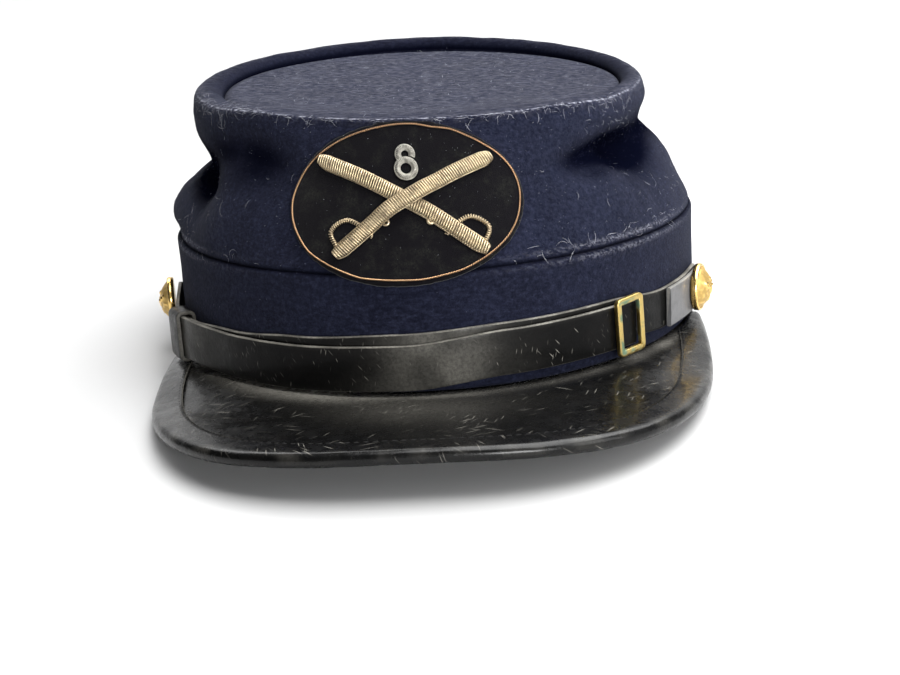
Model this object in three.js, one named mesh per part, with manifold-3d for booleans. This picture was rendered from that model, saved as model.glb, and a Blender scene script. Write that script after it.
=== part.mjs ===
import * as THREE from 'three';
import { mergeVertices } from 'three/addons/utils/BufferGeometryUtils.js';
import Module from 'manifold-3d';

// A soldier's kepi cap of wool cloth with a leather peak, a chin strap and an embroidered badge.
// Millimetres. In the cap's own frame -Y is the front, +X is the right as seen from the front,
// +Z is up and z = 0 is the band's bottom edge. Angles run round the cap in degrees, 0 at the
// front and positive towards +X.

// Clear space between pieces that are sewn together or lie on each other
const seatGap = 0.3;

// Band
const bandWidth = 166;
const bandLength = 200;
const bandHeight = 32.5;
const bandWall = 3;

// Crown side with its rolled rim
const crownWall = 2;
const rimRadius = 3.6;

// Crown tip, the flat top sunk inside the rim
const tipWidth = 139.4;
const tipLength = 142;
const tipHeight = 76.5;
const tipForward = 13.5;
const tipSide = -1.8;
const tipPitch = 5.5;
const tipRoll = -1.8;
const tipSink = 2.8;
const tipWall = 2;

// Peak with its folded binding. It is narrower than the band by peakNarrowing.
const peakNarrowing = 5.4;
const peakReach = 46.5;
const peakHornAhead = 22;
const peakCornerRatio = 2.85;
const peakWall = 1.8;
const peakSlope = -0.5;
const peakDroop = 5;
const peakDroopRun = 24;
const bindingWall = 0.8;
const bindingTopWidth = 6.5;
const bindingUnderWidth = 5;

// Chin strap
const strapWall = 1.4;
const strapFrontWidth = 12.5;
const strapRearWidth = 11.5;
const strapLeftEnd = -79;
const strapRightEnd = 73;
const strapFrontStart = -66;
const strapFrontEnd = 42.5;
const tabStart = 54;
const tabWidth = 11.5;
const keeperWall = 1.2;
const keeperLength = 11;
const keeperAngle = -61.5;
const keeperCorner = 0.8;
const buckleWidth = 11;
const buckleHeight = 16.6;
const buckleBar = 1.8;
const buckleWall = 1.5;
const buckleAngle = 40.1;
const buckleRise = 10.6;
const buckleTurn = 3.5;

// Side buttons
const buttonDiameter = 14.4;
const buttonEdge = 1.6;
const buttonDome = 2.9;
const buttonFullness = 2.6;
const buttonRimWidth = 1;
const buttonRelief = 0.5;

// Badge, with places on it measured from its middle
const badgeWidth = 61.2;
const badgeHeight = 42;
const badgeTurn = 4.4;
const badgeSide = -1.8;
const badgeRise = 18.6;
const patchMargin = 1.2;
const patchWall = 1.2;
const borderDiameter = 0.9;
const bladeWidth = 4.2;
const bladeThickness = 1.6;
const bladeCrossing = 4;
const guardDiameter = 1.7;
const knobDiameter = 2.4;
const numeralWidth = 6.4;
const numeralHeight = 9.8;
const numeralStroke = 1.7;
const numeralThickness = 1;
const numeralSide = 1.3;
const numeralBelowEdge = 5.3;
const hookEndTurn = -22;

// Folds of the crown's side. angle and angleSpread in degrees; height and heightSpread as shares of
// the way from the seam to the rim; slant is the height share gained in ten degrees; depth is a
// share of tipHeight, negative inwards.
const crownFolds = [
  { angle: -38, height: 0.72, angleSpread: 10, heightSpread: 0.13, slant: -0.03, depth: -0.05 },
  { angle: -48, height: 0.4, angleSpread: 6, heightSpread: 0.24, slant: 0, depth: 0.03 },
  { angle: -60, height: 0.42, angleSpread: 8, heightSpread: 0.22, slant: 0.02, depth: -0.05 },
  { angle: -84, height: 0.54, angleSpread: 19, heightSpread: 0.15, slant: 0, depth: -0.105 },
  { angle: -82, height: 0.45, angleSpread: 16, heightSpread: 0.05, slant: 0, depth: -0.035 },
  { angle: -92, height: 0.22, angleSpread: 22, heightSpread: 0.13, slant: 0, depth: 0.06 },
  { angle: 42, height: 0.63, angleSpread: 8, heightSpread: 0.08, slant: 0.04, depth: -0.05 },
  { angle: 58, height: 0.61, angleSpread: 6.5, heightSpread: 0.1, slant: -0.03, depth: -0.115 },
  { angle: 76, height: 0.5, angleSpread: 9, heightSpread: 0.2, slant: 0, depth: 0.02 },
  { angle: 88, height: 0.73, angleSpread: 22, heightSpread: 0.12, slant: 0, depth: -0.078 },
  { angle: 104, height: 0.45, angleSpread: 28, heightSpread: 0.2, slant: 0, depth: -0.032 },
  { angle: 180, height: 0.5, angleSpread: 45, heightSpread: 0.3, slant: 0, depth: 0.05 },
  { angle: -140, height: 0.6, angleSpread: 12, heightSpread: 0.18, slant: 0.05, depth: -0.04 },
  { angle: 142, height: 0.62, angleSpread: 14, heightSpread: 0.16, slant: -0.05, depth: -0.04 },
];

// The rim round the cap, a crisp edge at the front and a soft roll elsewhere. lift is the crest's
// height above the tip's plane and rise the tip's own, as shares of tipHeight; outer and inner are
// the heights and widths of its two quarters as shares of rimRadius; bend is 1 where they are round
// and small where they are square.
const rimShape = [
  { angle: -180, lift: 0.016, rise: 0, outer: 1, inner: 1, bend: 1 },
  { angle: -130, lift: 0.006, rise: 0, outer: 1, inner: 1.1, bend: 1 },
  { angle: -85, lift: 0, rise: 0, outer: 1, inner: 1.55, bend: 1 },
  { angle: -58, lift: 0.004, rise: 0.012, outer: 0.9, inner: 1.5, bend: 0.9 },
  { angle: -34, lift: 0.022, rise: 0.048, outer: 0.5, inner: 1, bend: 0.5 },
  { angle: 34, lift: 0.022, rise: 0.048, outer: 0.5, inner: 1, bend: 0.5 },
  { angle: 58, lift: 0.005, rise: 0.012, outer: 0.9, inner: 1, bend: 0.9 },
  { angle: 90, lift: 0, rise: 0, outer: 1, inner: 1, bend: 1 },
  { angle: 180, lift: 0.016, rise: 0, outer: 1, inner: 1, bend: 1 },
];

// How far the crown is drawn in at its seam, as a share of bandWall.
const seamTuck = [
  { angle: -180, tuck: 0.1 },
  { angle: -90, tuck: 0.45 },
  { angle: -45, tuck: 0.1 },
  { angle: 45, tuck: 0.1 },
  { angle: 90, tuck: 0.2 },
  { angle: 180, tuck: 0.1 },
];

// Where the band's bottom edge is pulled down: the spread in degrees, the drop as a share of
// bandHeight.
const bandPull = { angle: -74, angleSpread: 15, drop: 0.11 };

// The lower edges of the chin strap's two layers above the band's bottom edge, as shares of
// strapFrontWidth.
const strapLie = [
  { angle: -80, front: 0.4, rear: 0.62 },
  { angle: -70, front: 0.2, rear: 0.26 },
  { angle: -58, front: 0.2, rear: 0.22 },
  { angle: -40, front: 0.06, rear: 0.19 },
  { angle: -25, front: 0.06, rear: 0.3 },
  { angle: -4, front: 0.11, rear: 0.41 },
  { angle: 15, front: 0.3, rear: 0.5 },
  { angle: 37, front: 0.34, rear: 0.52 },
  { angle: 54, front: 0.34, rear: 0.34 },
  { angle: 80, front: 0.34, rear: 0.34 },
];

// The side buttons, with their height above the band's bottom edge as a share of bandHeight
const sideButtons = [
  { name: 'button_left', angle: -76, rise: 0.35 },
  { name: 'button_right', angle: 67, rise: 0.335 },
];

// The relief on a side button, an eagle with spread wings: places and half sizes as shares of the
// button's radius, rises as shares of buttonRelief, turns in degrees.
const eagleForms = [
  { form: 'body', across: 0, up: -0.04, long: 0.3, wide: 0.15, turn: 90, rise: 1 },
  { form: 'head', across: 0.05, up: 0.4, long: 0.13, wide: 0.1, turn: 60, rise: 0.9 },
  { form: 'left wing', across: -0.36, up: 0.16, long: 0.36, wide: 0.15, turn: -38, rise: 0.8 },
  { form: 'right wing', across: 0.36, up: 0.16, long: 0.36, wide: 0.15, turn: 38, rise: 0.8 },
  { form: 'tail', across: 0, up: -0.48, long: 0.17, wide: 0.16, turn: 90, rise: 0.7 },
];

// A sabre with its point to the upper right: the blade from point to pommel, the guard's bow beside
// the grip, and the short bar across with its knob. across is a share of badgeWidth, up of
// badgeHeight.
const sabreBlade = [
  { across: 0.385, up: 0.2695714 },
  { across: 0.19, up: 0.1646571 },
  { across: 0.012, up: 0.0262286 },
  { across: -0.095, up: -0.0728571 },
  { across: -0.306, up: -0.3380571 },
];
const sabreBow = [
  { across: -0.172, up: -0.1704857 },
  { across: -0.255, up: -0.1136571 },
  { across: -0.325, up: -0.1879714 },
  { across: -0.288, up: -0.3132857 },
];
const sabreBar = [
  { across: -0.19, up: -0.1515429 },
  { across: -0.149, up: -0.2200286 },
];
const sabreKnob = { across: -0.092, up: -0.1267714 };

// The pair of sabres on the badge: how far to the right, and the turn in degrees
const sabreSide = 0.7;
const sabreTurn = -0.4;

// How finely the curved pieces are divided
const crownColumns = 64;
const wallRows = 10;
const rimRows = 4;
const tipSpokes = 48;
const tipRings = 3;
const tipFlatShare = 0.45;
const peakColumns = 45;
const peakRows = 5;
const edgeCrowding = 0.75;
const bindingTurns = 4;
const patchSpokes = 32;
const patchRings = 4;
const borderSteps = 40;
const bladeSteps = 14;
const bowSteps = 9;
const wireSides = 6;
const strapStep = 3.4;
const cornerSteps = 3;
const buttonColumns = 20;
const buttonRings = 6;
const numeralSteps = 7;

const degrees = Math.PI / 180;
const hornShare = 0.985;

// Curves of change

function bell(offset, spread) {
  return Math.exp(-0.5 * (offset / spread) ** 2);
}

function smooth(low, high, value) {
  return THREE.MathUtils.smoothstep(value, low, high);
}

function turnBetween(angle, centre) {
  return ((((angle - centre + 180) % 360) + 360) % 360) - 180;
}

function readTable(table, angle, column) {
  const last = table[table.length - 1];
  const place = THREE.MathUtils.clamp(angle, table[0].angle, last.angle);
  const next = Math.max(1, table.findIndex((row) => row.angle >= place));
  const before = table[next - 1];
  const after = table[next];
  const share = smooth(before.angle, after.angle, place);
  return THREE.MathUtils.lerp(before[column], after[column], share);
}

// Closed bodies from loops of points

function bodyFrom(points, triangles) {
  const corners = [0, 1, 2].map(() => new THREE.Vector3());
  let volume = 0;
  for (let i = 0; i < triangles.length; i += 3) {
    corners.forEach((corner, k) => corner.copy(points[triangles[i + k]]));
    volume += corners[0].dot(corners[1].cross(corners[2]));
  }
  const facingOut = [];
  for (let i = 0; i < triangles.length; i += 3) {
    const [a, b, c] = triangles.slice(i, i + 3);
    facingOut.push(a, volume > 0 ? b : c, volume > 0 ? c : b);
  }
  return new THREE.BufferGeometry().setFromPoints(points).setIndex(facingOut);
}

function sideTriangles(loops, closed) {
  const size = loops[0].length;
  const spans = closed ? loops.length : loops.length - 1;
  const triangles = [];
  for (let i = 0; i < spans; i += 1) {
    const here = i * size;
    const there = ((i + 1) % loops.length) * size;
    for (let k = 0; k < size; k += 1) {
      const next = (k + 1) % size;
      triangles.push(here + k, there + k, there + next);
      triangles.push(here + k, there + next, here + next);
    }
  }
  return triangles;
}

function ringBody(loops) {
  return bodyFrom(loops.flat(), sideTriangles(loops, true));
}

// The end of a loop whose second half runs back beside its first
function pairedEnd(size) {
  const faces = [];
  for (let k = 0; k < size / 2 - 1; k += 1) {
    faces.push([k, k + 1, size - 2 - k]);
    faces.push([k, size - 2 - k, size - 1 - k]);
  }
  return faces;
}

// The end of a loop of any outline
function outlinedEnd(outline) {
  const faces = THREE.ShapeUtils.triangulateShape(outline, []);
  const turnsLeft = THREE.ShapeUtils.area(outline) > 0;
  return faces.map(([a, b, c]) => (turnsLeft ? [a, b, c] : [a, c, b]));
}

// A disc of loops that each run from near its middle over the edge and back
function discBody(loops, above, below) {
  const size = loops[0].length;
  const points = loops.flat();
  const top = points.push(above) - 1;
  const bottom = points.push(below) - 1;
  const triangles = [];
  for (let i = 0; i < loops.length; i += 1) {
    const here = i * size;
    const there = ((i + 1) % loops.length) * size;
    for (let k = 0; k + 1 < size; k += 1) {
      triangles.push(here + k, there + k, there + k + 1);
      triangles.push(here + k, there + k + 1, here + k + 1);
    }
    triangles.push(top, there, here);
    triangles.push(bottom, here + size - 1, there + size - 1);
  }
  return bodyFrom(points, triangles);
}

function barBody(loops, endFaces) {
  const triangles = sideTriangles(loops, false);
  const far = (loops.length - 1) * loops[0].length;
  for (const [a, b, c] of endFaces) {
    triangles.push(a, b, c);
    triangles.push(far + a, far + c, far + b);
  }
  return bodyFrom(loops.flat(), triangles);
}

// Joining solids

const wasm = await Module();
wasm.setup();

function toSolid(geometry) {
  const bare = geometry.clone();
  bare.deleteAttribute('normal');
  bare.deleteAttribute('uv');
  const merged = mergeVertices(bare);
  return new wasm.Manifold(new wasm.Mesh({
    numProp: 3,
    vertProperties: new Float32Array(merged.getAttribute('position').array),
    triVerts: new Uint32Array(merged.index.array),
  }));
}

function joined(geometries) {
  const solids = geometries.map(toSolid);
  const mesh = solids.reduce((whole, next) => whole.add(next)).getMesh();
  const geometry = new THREE.BufferGeometry();
  geometry.setAttribute('position', new THREE.BufferAttribute(mesh.vertProperties, 3));
  geometry.setIndex(new THREE.BufferAttribute(mesh.triVerts, 1));
  return geometry;
}

// Band

function bandOutward(angle) {
  const turn = angle * degrees;
  return new THREE.Vector3(Math.sin(turn) / bandWidth, -Math.cos(turn) / bandLength, 0).normalize();
}

function bandPoint(angle, out, height) {
  const turn = angle * degrees;
  const across = (bandWidth / 2) * Math.sin(turn);
  const along = (-bandLength / 2) * Math.cos(turn);
  return new THREE.Vector3(across, along, height).addScaledVector(bandOutward(angle), out);
}

function bandBottom(angle) {
  const away = turnBetween(angle, bandPull.angle);
  return -bandPull.drop * bandHeight * bell(away, bandPull.angleSpread);
}

function makeBand() {
  const loops = [];
  for (let i = 0; i < crownColumns; i += 1) {
    const angle = (360 * i) / crownColumns;
    loops.push([
      bandPoint(angle, 0, bandBottom(angle)),
      bandPoint(angle, 0, bandHeight),
      bandPoint(angle, -bandWall, bandHeight),
      bandPoint(angle, -bandWall, bandBottom(angle)),
    ]);
  }
  return ringBody(loops);
}

// Crown side

const tipFrame = new THREE.Matrix4()
  .makeTranslation(tipSide, -tipForward, tipHeight)
  .multiply(new THREE.Matrix4().makeRotationY(-tipRoll * degrees))
  .multiply(new THREE.Matrix4().makeRotationX(tipPitch * degrees));

function rimValue(angle, column) {
  return readTable(rimShape, turnBetween(angle, 0), column);
}

// A roll of 0 is the top of the wall, 90 the crest and 180 the inner side, where the hem goes down.
function rimPoint(angle, roll, radius, drop) {
  const turn = angle * degrees;
  const bend = rimValue(angle, 'bend');
  const cosine = Math.cos(roll * degrees);
  const sideways = Math.sign(cosine) * Math.abs(cosine) ** bend;
  const upwards = Math.abs(Math.sin(roll * degrees)) ** bend;
  const hollow = rimRadius - radius;
  const outer = roll < 90 ? rimValue(angle, 'outer') : 1;
  const inner = roll < 90 ? 1 : rimValue(angle, 'inner');
  const out = (rimRadius * inner - hollow) * sideways - rimRadius;
  const high = (rimRadius * outer - hollow) * upwards - rimRadius * outer;
  const up = high + rimValue(angle, 'lift') * tipHeight - drop;
  const across = (tipWidth / 2 + out) * Math.sin(turn);
  const along = (-tipLength / 2 - out) * Math.cos(turn);
  return new THREE.Vector3(across, along, up).applyMatrix4(tipFrame);
}

// The tip's top face at a share of the way from its middle to its edge
function tipPoint(angle, share, drop) {
  const turn = angle * degrees;
  const edge = rimRadius + rimRadius * rimValue(angle, 'inner') + seatGap;
  const rise = rimValue(angle, 'rise') * tipHeight * smooth(tipFlatShare, 1, share);
  const across = (tipWidth / 2 - edge) * share * Math.sin(turn);
  const along = (-tipLength / 2 + edge) * share * Math.cos(turn);
  return new THREE.Vector3(across, along, rise - tipSink - drop).applyMatrix4(tipFrame);
}

function foldDepth(angle, height) {
  let depth = 0;
  for (const fold of crownFolds) {
    const turn = turnBetween(angle, fold.angle);
    const rise = height - fold.height - (fold.slant * turn) / 10;
    depth += fold.depth * tipHeight * bell(turn, fold.angleSpread) * bell(rise, fold.heightSpread);
  }
  return depth * smooth(0, 0.12, height) * (1 - smooth(0.86, 1, height));
}

function crownFoot(angle) {
  const tuck = readTable(seamTuck, turnBetween(angle, 0), 'tuck') * bandWall;
  return bandPoint(angle, -tuck, bandHeight + seatGap);
}

function crownPoint(angle, height) {
  const rim = rimPoint(angle, 0, rimRadius, 0);
  const outward = bandOutward(angle).multiplyScalar(foldDepth(angle, height));
  return crownFoot(angle).lerp(rim, height).add(outward);
}

function crownNormal(angle, height) {
  const step = 0.01;
  const low = Math.max(0, height - step);
  const high = Math.min(1, low + 2 * step);
  const up = crownPoint(angle, high).sub(crownPoint(angle, low));
  const along = crownPoint(angle + step, height).sub(crownPoint(angle - step, height));
  return along.cross(up).normalize();
}

function makeCrownSide() {
  const loops = [];
  for (let i = 0; i < crownColumns; i += 1) {
    const angle = (360 * i) / crownColumns;
    const outer = [];
    const inner = [];
    for (let row = 0; row < wallRows; row += 1) {
      const height = row / wallRows;
      const normal = row === 0 ? bandOutward(angle) : crownNormal(angle, height);
      outer.push(crownPoint(angle, height));
      inner.push(crownPoint(angle, height).addScaledVector(normal, -crownWall));
    }
    for (let row = 0; row <= rimRows; row += 1) {
      const roll = (180 * row) / rimRows;
      outer.push(rimPoint(angle, roll, rimRadius, 0));
      inner.push(rimPoint(angle, roll, rimRadius - crownWall, 0));
    }
    const tipLow = tipSink + tipWall - rimValue(angle, 'rise') * tipHeight;
    const hemDrop = rimValue(angle, 'lift') * tipHeight + tipLow - rimRadius;
    outer.push(rimPoint(angle, 180, rimRadius, hemDrop));
    inner.push(rimPoint(angle, 180, rimRadius - crownWall, hemDrop));
    loops.push([...outer, ...inner.reverse()]);
  }
  return ringBody(loops);
}

// Crown tip

function makeCrownTip() {
  const loops = [];
  for (let i = 0; i < tipSpokes; i += 1) {
    const angle = (360 * i) / tipSpokes;
    const shares = [...Array(tipRings).keys()]
      .map((ring) => tipFlatShare + ((1 - tipFlatShare) * ring) / (tipRings - 1));
    const top = shares.map((share) => tipPoint(angle, share, 0));
    const under = shares.reverse().map((share) => tipPoint(angle, share, tipWall));
    loops.push([...top, ...under]);
  }
  return discBody(loops, tipPoint(0, 0, 0), tipPoint(0, 0, tipWall));
}

// Peak

const peakWidth = bandWidth - peakNarrowing;

function peakEdge(share) {
  const turn = share * 90 * degrees;
  const power = 2 / peakCornerRatio;
  const reach = bandLength / 2 + peakReach - peakHornAhead;
  const across = (peakWidth / 2) * Math.sign(turn) * Math.abs(Math.sin(turn)) ** power;
  return new THREE.Vector2(across, -peakHornAhead - reach * Math.cos(turn) ** power);
}

function peakOutward(share) {
  const step = 0.002;
  const along = peakEdge(share + step).sub(peakEdge(share - step)).normalize();
  return new THREE.Vector2(along.y, -along.x);
}

function aheadOfBand(place) {
  const ring = Math.hypot((2 * place.x) / bandWidth, (2 * place.y) / bandLength);
  return Math.max(0, place.length() * (1 - 1 / ring));
}

function peakMiddle(place) {
  const ahead = aheadOfBand(place);
  const side = ((2 * place.x) / peakWidth) ** 2;
  const angle = Math.atan2(place.x / bandWidth, -place.y / bandLength) / degrees;
  const root = bandBottom(angle) - seatGap - peakWall / 2;
  const slope = Math.tan(peakSlope * degrees) * ahead;
  return root - slope - peakDroop * side * smooth(0, peakDroopRun, ahead);
}

function makePeak() {
  const hornAngle = Math.acos((2 * peakHornAhead) / bandLength) / degrees;
  const loops = [];
  for (let i = 0; i <= peakColumns; i += 1) {
    const turn = (2 * i) / peakColumns - 1;
    const inside = bandPoint(turn * hornAngle, -bandWall, 0);
    const outside = bandPoint(turn * hornAngle, 0, 0);
    const edge = peakEdge(turn * hornShare);
    const places = [new THREE.Vector2(inside.x, inside.y)];
    for (let row = 0; row <= peakRows; row += 1) {
      const share = (row / peakRows) ** edgeCrowding;
      places.push(new THREE.Vector2(outside.x, outside.y).lerp(edge, share));
    }
    const level = (place, lift) => new THREE.Vector3(place.x, place.y, peakMiddle(place) + lift);
    const top = places.map((place) => level(place, peakWall / 2));
    const under = places.map((place) => level(place, -peakWall / 2));
    loops.push([...top, ...under.reverse()]);
  }
  return barBody(loops, pairedEnd(loops[0].length));
}

// The binding's upper lip narrows where the band is close.
function bindingOutline(room) {
  const inside = peakWall / 2 + seatGap;
  const outside = inside + bindingWall;
  const topWidth = Math.min(bindingTopWidth, 0.9 * room - seatGap);
  const outline = [new THREE.Vector2(-topWidth, outside)];
  for (let step = 0; step <= bindingTurns; step += 1) {
    const turn = (90 - (180 * step) / bindingTurns) * degrees;
    outline.push(new THREE.Vector2(seatGap + outside * Math.cos(turn), outside * Math.sin(turn)));
  }
  outline.push(new THREE.Vector2(-bindingUnderWidth, -outside));
  outline.push(new THREE.Vector2(-bindingUnderWidth, -inside));
  outline.push(new THREE.Vector2(seatGap, -inside));
  outline.push(new THREE.Vector2(seatGap, inside));
  outline.push(new THREE.Vector2(-topWidth, inside));
  return outline;
}

function makeBinding() {
  const loops = [];
  for (let i = 0; i <= peakColumns; i += 1) {
    const share = ((2 * i) / peakColumns - 1) * hornShare;
    const edge = peakEdge(share);
    const outward = peakOutward(share);
    loops.push(bindingOutline(aheadOfBand(edge)).map((point) => {
      const place = edge.clone().addScaledVector(outward, point.x);
      return new THREE.Vector3(place.x, place.y, peakMiddle(place) + point.y);
    }));
  }
  const end = bindingOutline(aheadOfBand(peakEdge(hornShare)));
  return barBody(loops, outlinedEnd(end));
}

// Chin strap. Each layer is a ribbon along the band, and a reach is how far a face lies off it.

const keeperHalfAngle = (keeperLength / bandPoint(keeperAngle, 0, 0).length() / degrees) / 2;

function rearReach(angle) {
  const away = Math.abs(turnBetween(angle, keeperAngle));
  const lift = 1 - smooth(2 * keeperHalfAngle, 5 * keeperHalfAngle, away);
  return seatGap + (keeperWall + seatGap) * lift;
}

function frontReach(angle) {
  return rearReach(angle) + strapWall + seatGap;
}

function outerReach(angle) {
  return frontReach(angle) + strapWall + seatGap;
}

function strapLow(angle, layer) {
  return bandBottom(angle) + readTable(strapLie, angle, layer) * strapFrontWidth;
}

function ribbon(from, to, reach, layer, width) {
  const arc = ((to - from) * degrees * (bandWidth + bandLength)) / 4;
  const count = Math.ceil(arc / strapStep);
  const loops = [];
  for (let i = 0; i <= count; i += 1) {
    const angle = from + ((to - from) * i) / count;
    const low = strapLow(angle, layer);
    loops.push([
      bandPoint(angle, reach(angle), low),
      bandPoint(angle, reach(angle) + strapWall, low),
      bandPoint(angle, reach(angle) + strapWall, low + width),
      bandPoint(angle, reach(angle), low + width),
    ]);
  }
  return barBody(loops, pairedEnd(loops[0].length));
}

function makeKeeper() {
  const inner = rearReach(keeperAngle) - seatGap;
  const outer = outerReach(keeperAngle);
  const low = Math.min(strapLow(keeperAngle, 'front'), strapLow(keeperAngle, 'rear')) - seatGap;
  const rearHigh = strapLow(keeperAngle, 'rear') + strapRearWidth;
  const frontHigh = strapLow(keeperAngle, 'front') + strapFrontWidth;
  const high = Math.max(rearHigh, frontHigh) + seatGap;
  const loops = [];
  for (let corner = 0; corner < 4; corner += 1) {
    const outwards = corner === 0 || corner === 3;
    const upwards = corner < 2;
    const reach = outwards ? outer - keeperCorner : inner + keeperCorner;
    const height = upwards ? high - keeperCorner : low + keeperCorner;
    for (let step = 0; step <= cornerSteps; step += 1) {
      const turn = (corner + step / cornerSteps) * 90 * degrees;
      const place = (radius, side) => {
        const angle = keeperAngle + side * keeperHalfAngle;
        const up = height + bandBottom(angle) - bandBottom(keeperAngle);
        return bandPoint(angle, reach + radius * Math.cos(turn), up + radius * Math.sin(turn));
      };
      const inside = [-1, 0, 1].map((side) => place(keeperCorner, side));
      const outside = [1, 0, -1].map((side) => place(keeperCorner + keeperWall, side));
      loops.push([...inside, ...outside]);
    }
  }
  return ringBody(loops);
}

// A frame on the band with x along it, y up and z outwards

function bandFrame(angle, reach, height) {
  const outward = bandOutward(angle);
  const up = new THREE.Vector3(0, 0, 1);
  const along = new THREE.Vector3().crossVectors(up, outward);
  return new THREE.Matrix4()
    .makeBasis(along, up, outward)
    .setPosition(bandPoint(angle, reach, height));
}

function rectangle(width, height, kind) {
  const outline = new kind();
  outline.moveTo(-width / 2, -height / 2);
  outline.lineTo(width / 2, -height / 2);
  outline.lineTo(width / 2, height / 2);
  outline.lineTo(-width / 2, height / 2);
  outline.closePath();
  return outline;
}

function makeBuckle() {
  const frame = rectangle(buckleWidth, buckleHeight, THREE.Shape);
  const window = rectangle(buckleWidth - 2 * buckleBar, buckleHeight - 2 * buckleBar, THREE.Path);
  frame.holes.push(window);
  const buckle = new THREE.ExtrudeGeometry(frame, { depth: buckleWall, bevelEnabled: false });
  buckle.rotateZ(buckleTurn * degrees);
  return buckle.applyMatrix4(bandFrame(buckleAngle, outerReach(buckleAngle), buckleRise));
}

// Side buttons

function eagleRise(across, up) {
  let rise = 0;
  for (const form of eagleForms) {
    const turn = form.turn * degrees;
    const x = across - form.across;
    const y = up - form.up;
    const long = (x * Math.cos(turn) + y * Math.sin(turn)) / form.long;
    const wide = (y * Math.cos(turn) - x * Math.sin(turn)) / form.wide;
    rise = Math.max(rise, form.rise * (1 - smooth(0.4, 1.1, Math.hypot(long, wide))));
  }
  return rise * buttonRelief;
}

function buttonHeight(across, up) {
  const fromMiddle = Math.hypot(across, up);
  const domeShare = 1 - (2 * buttonRimWidth) / buttonDiameter;
  const dome = buttonDome * (1 - Math.min(1, fromMiddle / domeShare) ** buttonFullness);
  return buttonEdge + dome + eagleRise(across, up);
}

function makeButton() {
  const radius = buttonDiameter / 2;
  const domeShare = 1 - (2 * buttonRimWidth) / buttonDiameter;
  const shares = [1];
  for (let ring = 0; ring < buttonRings; ring += 1) {
    shares.push(domeShare * (1 - ring / buttonRings));
  }
  const points = [];
  const circle = (share, heightAt) => {
    for (let i = 0; i < buttonColumns; i += 1) {
      const turn = (2 * Math.PI * i) / buttonColumns;
      const across = share * Math.cos(turn);
      const up = share * Math.sin(turn);
      points.push(new THREE.Vector3(radius * across, radius * up, heightAt(across, up)));
    }
  };
  circle(1, () => 0);
  for (const share of shares) {
    circle(share, buttonHeight);
  }
  const middle = points.push(new THREE.Vector3(0, 0, buttonHeight(0, 0))) - 1;
  const back = points.push(new THREE.Vector3(0, 0, 0)) - 1;
  const triangles = [];
  for (let i = 0; i < buttonColumns; i += 1) {
    const next = (i + 1) % buttonColumns;
    triangles.push(back, next, i);
    for (let ring = 0; ring < shares.length; ring += 1) {
      const low = ring * buttonColumns;
      const high = low + buttonColumns;
      triangles.push(low + i, low + next, high + next);
      triangles.push(low + i, high + next, high + i);
    }
    const last = shares.length * buttonColumns;
    triangles.push(last + i, last + next, middle);
  }
  return bodyFrom(points, triangles);
}

// A button sits on the highest place of the strap behind it.
function makeSideButton(button) {
  const layerReach = button.angle > tabStart ? outerReach : frontReach;
  const halfAngle = buttonDiameter / bandWidth / degrees;
  const outward = bandOutward(button.angle);
  let reach = 0;
  for (let share = -1; share <= 1; share += 0.1) {
    const angle = button.angle + share * halfAngle;
    const place = bandPoint(angle, layerReach(angle), 0).sub(bandPoint(button.angle, 0, 0));
    reach = Math.max(reach, place.dot(outward));
  }
  return makeButton().applyMatrix4(bandFrame(button.angle, reach, button.rise * bandHeight));
}

// Badge. Places on it are measured across and up from its middle, and lift is the height above the
// cloth.

const frontWall = crownPoint(0, 0).distanceTo(crownPoint(0, 1));
const frontRadius = (bandWidth + tipWidth) / 4;
const patchFace = seatGap + patchWall;

// Above the wall the badge bends over the rim's outer quarter.
function badgePoint(across, up, lift) {
  const angle = (badgeSide + across) / frontRadius / degrees;
  const height = (badgeRise + up) / frontWall;
  const roll = Math.max(0, (height - 1) * frontWall) / rimRadius / degrees;
  const normal = crownNormal(angle, THREE.MathUtils.clamp(height, 0, 1));
  const place = height < 1 ? crownPoint(angle, height) : rimPoint(angle, roll, rimRadius, 0);
  const over = rimPoint(angle, roll, rimRadius + 1, 0).sub(rimPoint(angle, roll, rimRadius, 0));
  const lean = smooth(0, 20, roll);
  return place.addScaledVector(normal.lerp(over.normalize(), lean).normalize(), lift);
}

function ovalPoint(turn, share, margin) {
  const tilt = badgeTurn * degrees;
  const x = share * (badgeWidth / 2 + margin) * Math.cos(turn);
  const y = share * (badgeHeight / 2 + margin) * Math.sin(turn);
  return [x * Math.cos(tilt) - y * Math.sin(tilt), x * Math.sin(tilt) + y * Math.cos(tilt)];
}

function makePatch() {
  const loops = [];
  for (let i = 0; i < patchSpokes; i += 1) {
    const turn = (2 * Math.PI * i) / patchSpokes;
    const ring = (step, lift) => badgePoint(...ovalPoint(turn, step / patchRings, patchMargin), lift);
    const steps = [...Array(patchRings).keys()].map((step) => step + 1);
    const face = steps.map((step) => ring(step, patchFace));
    const back = steps.reverse().map((step) => ring(step, seatGap));
    loops.push([...face, ...back]);
  }
  return discBody(loops, badgePoint(0, 0, patchFace), badgePoint(0, 0, seatGap));
}

function wireLoop(centre, side, out, diameter) {
  const loop = [];
  for (let k = 0; k < wireSides; k += 1) {
    const turn = (2 * Math.PI * (k + 0.5)) / wireSides;
    const point = centre.clone().addScaledVector(side, (diameter / 2) * Math.cos(turn));
    loop.push(point.addScaledVector(out, (diameter / 2) * Math.sin(turn)));
  }
  return loop;
}

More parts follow.
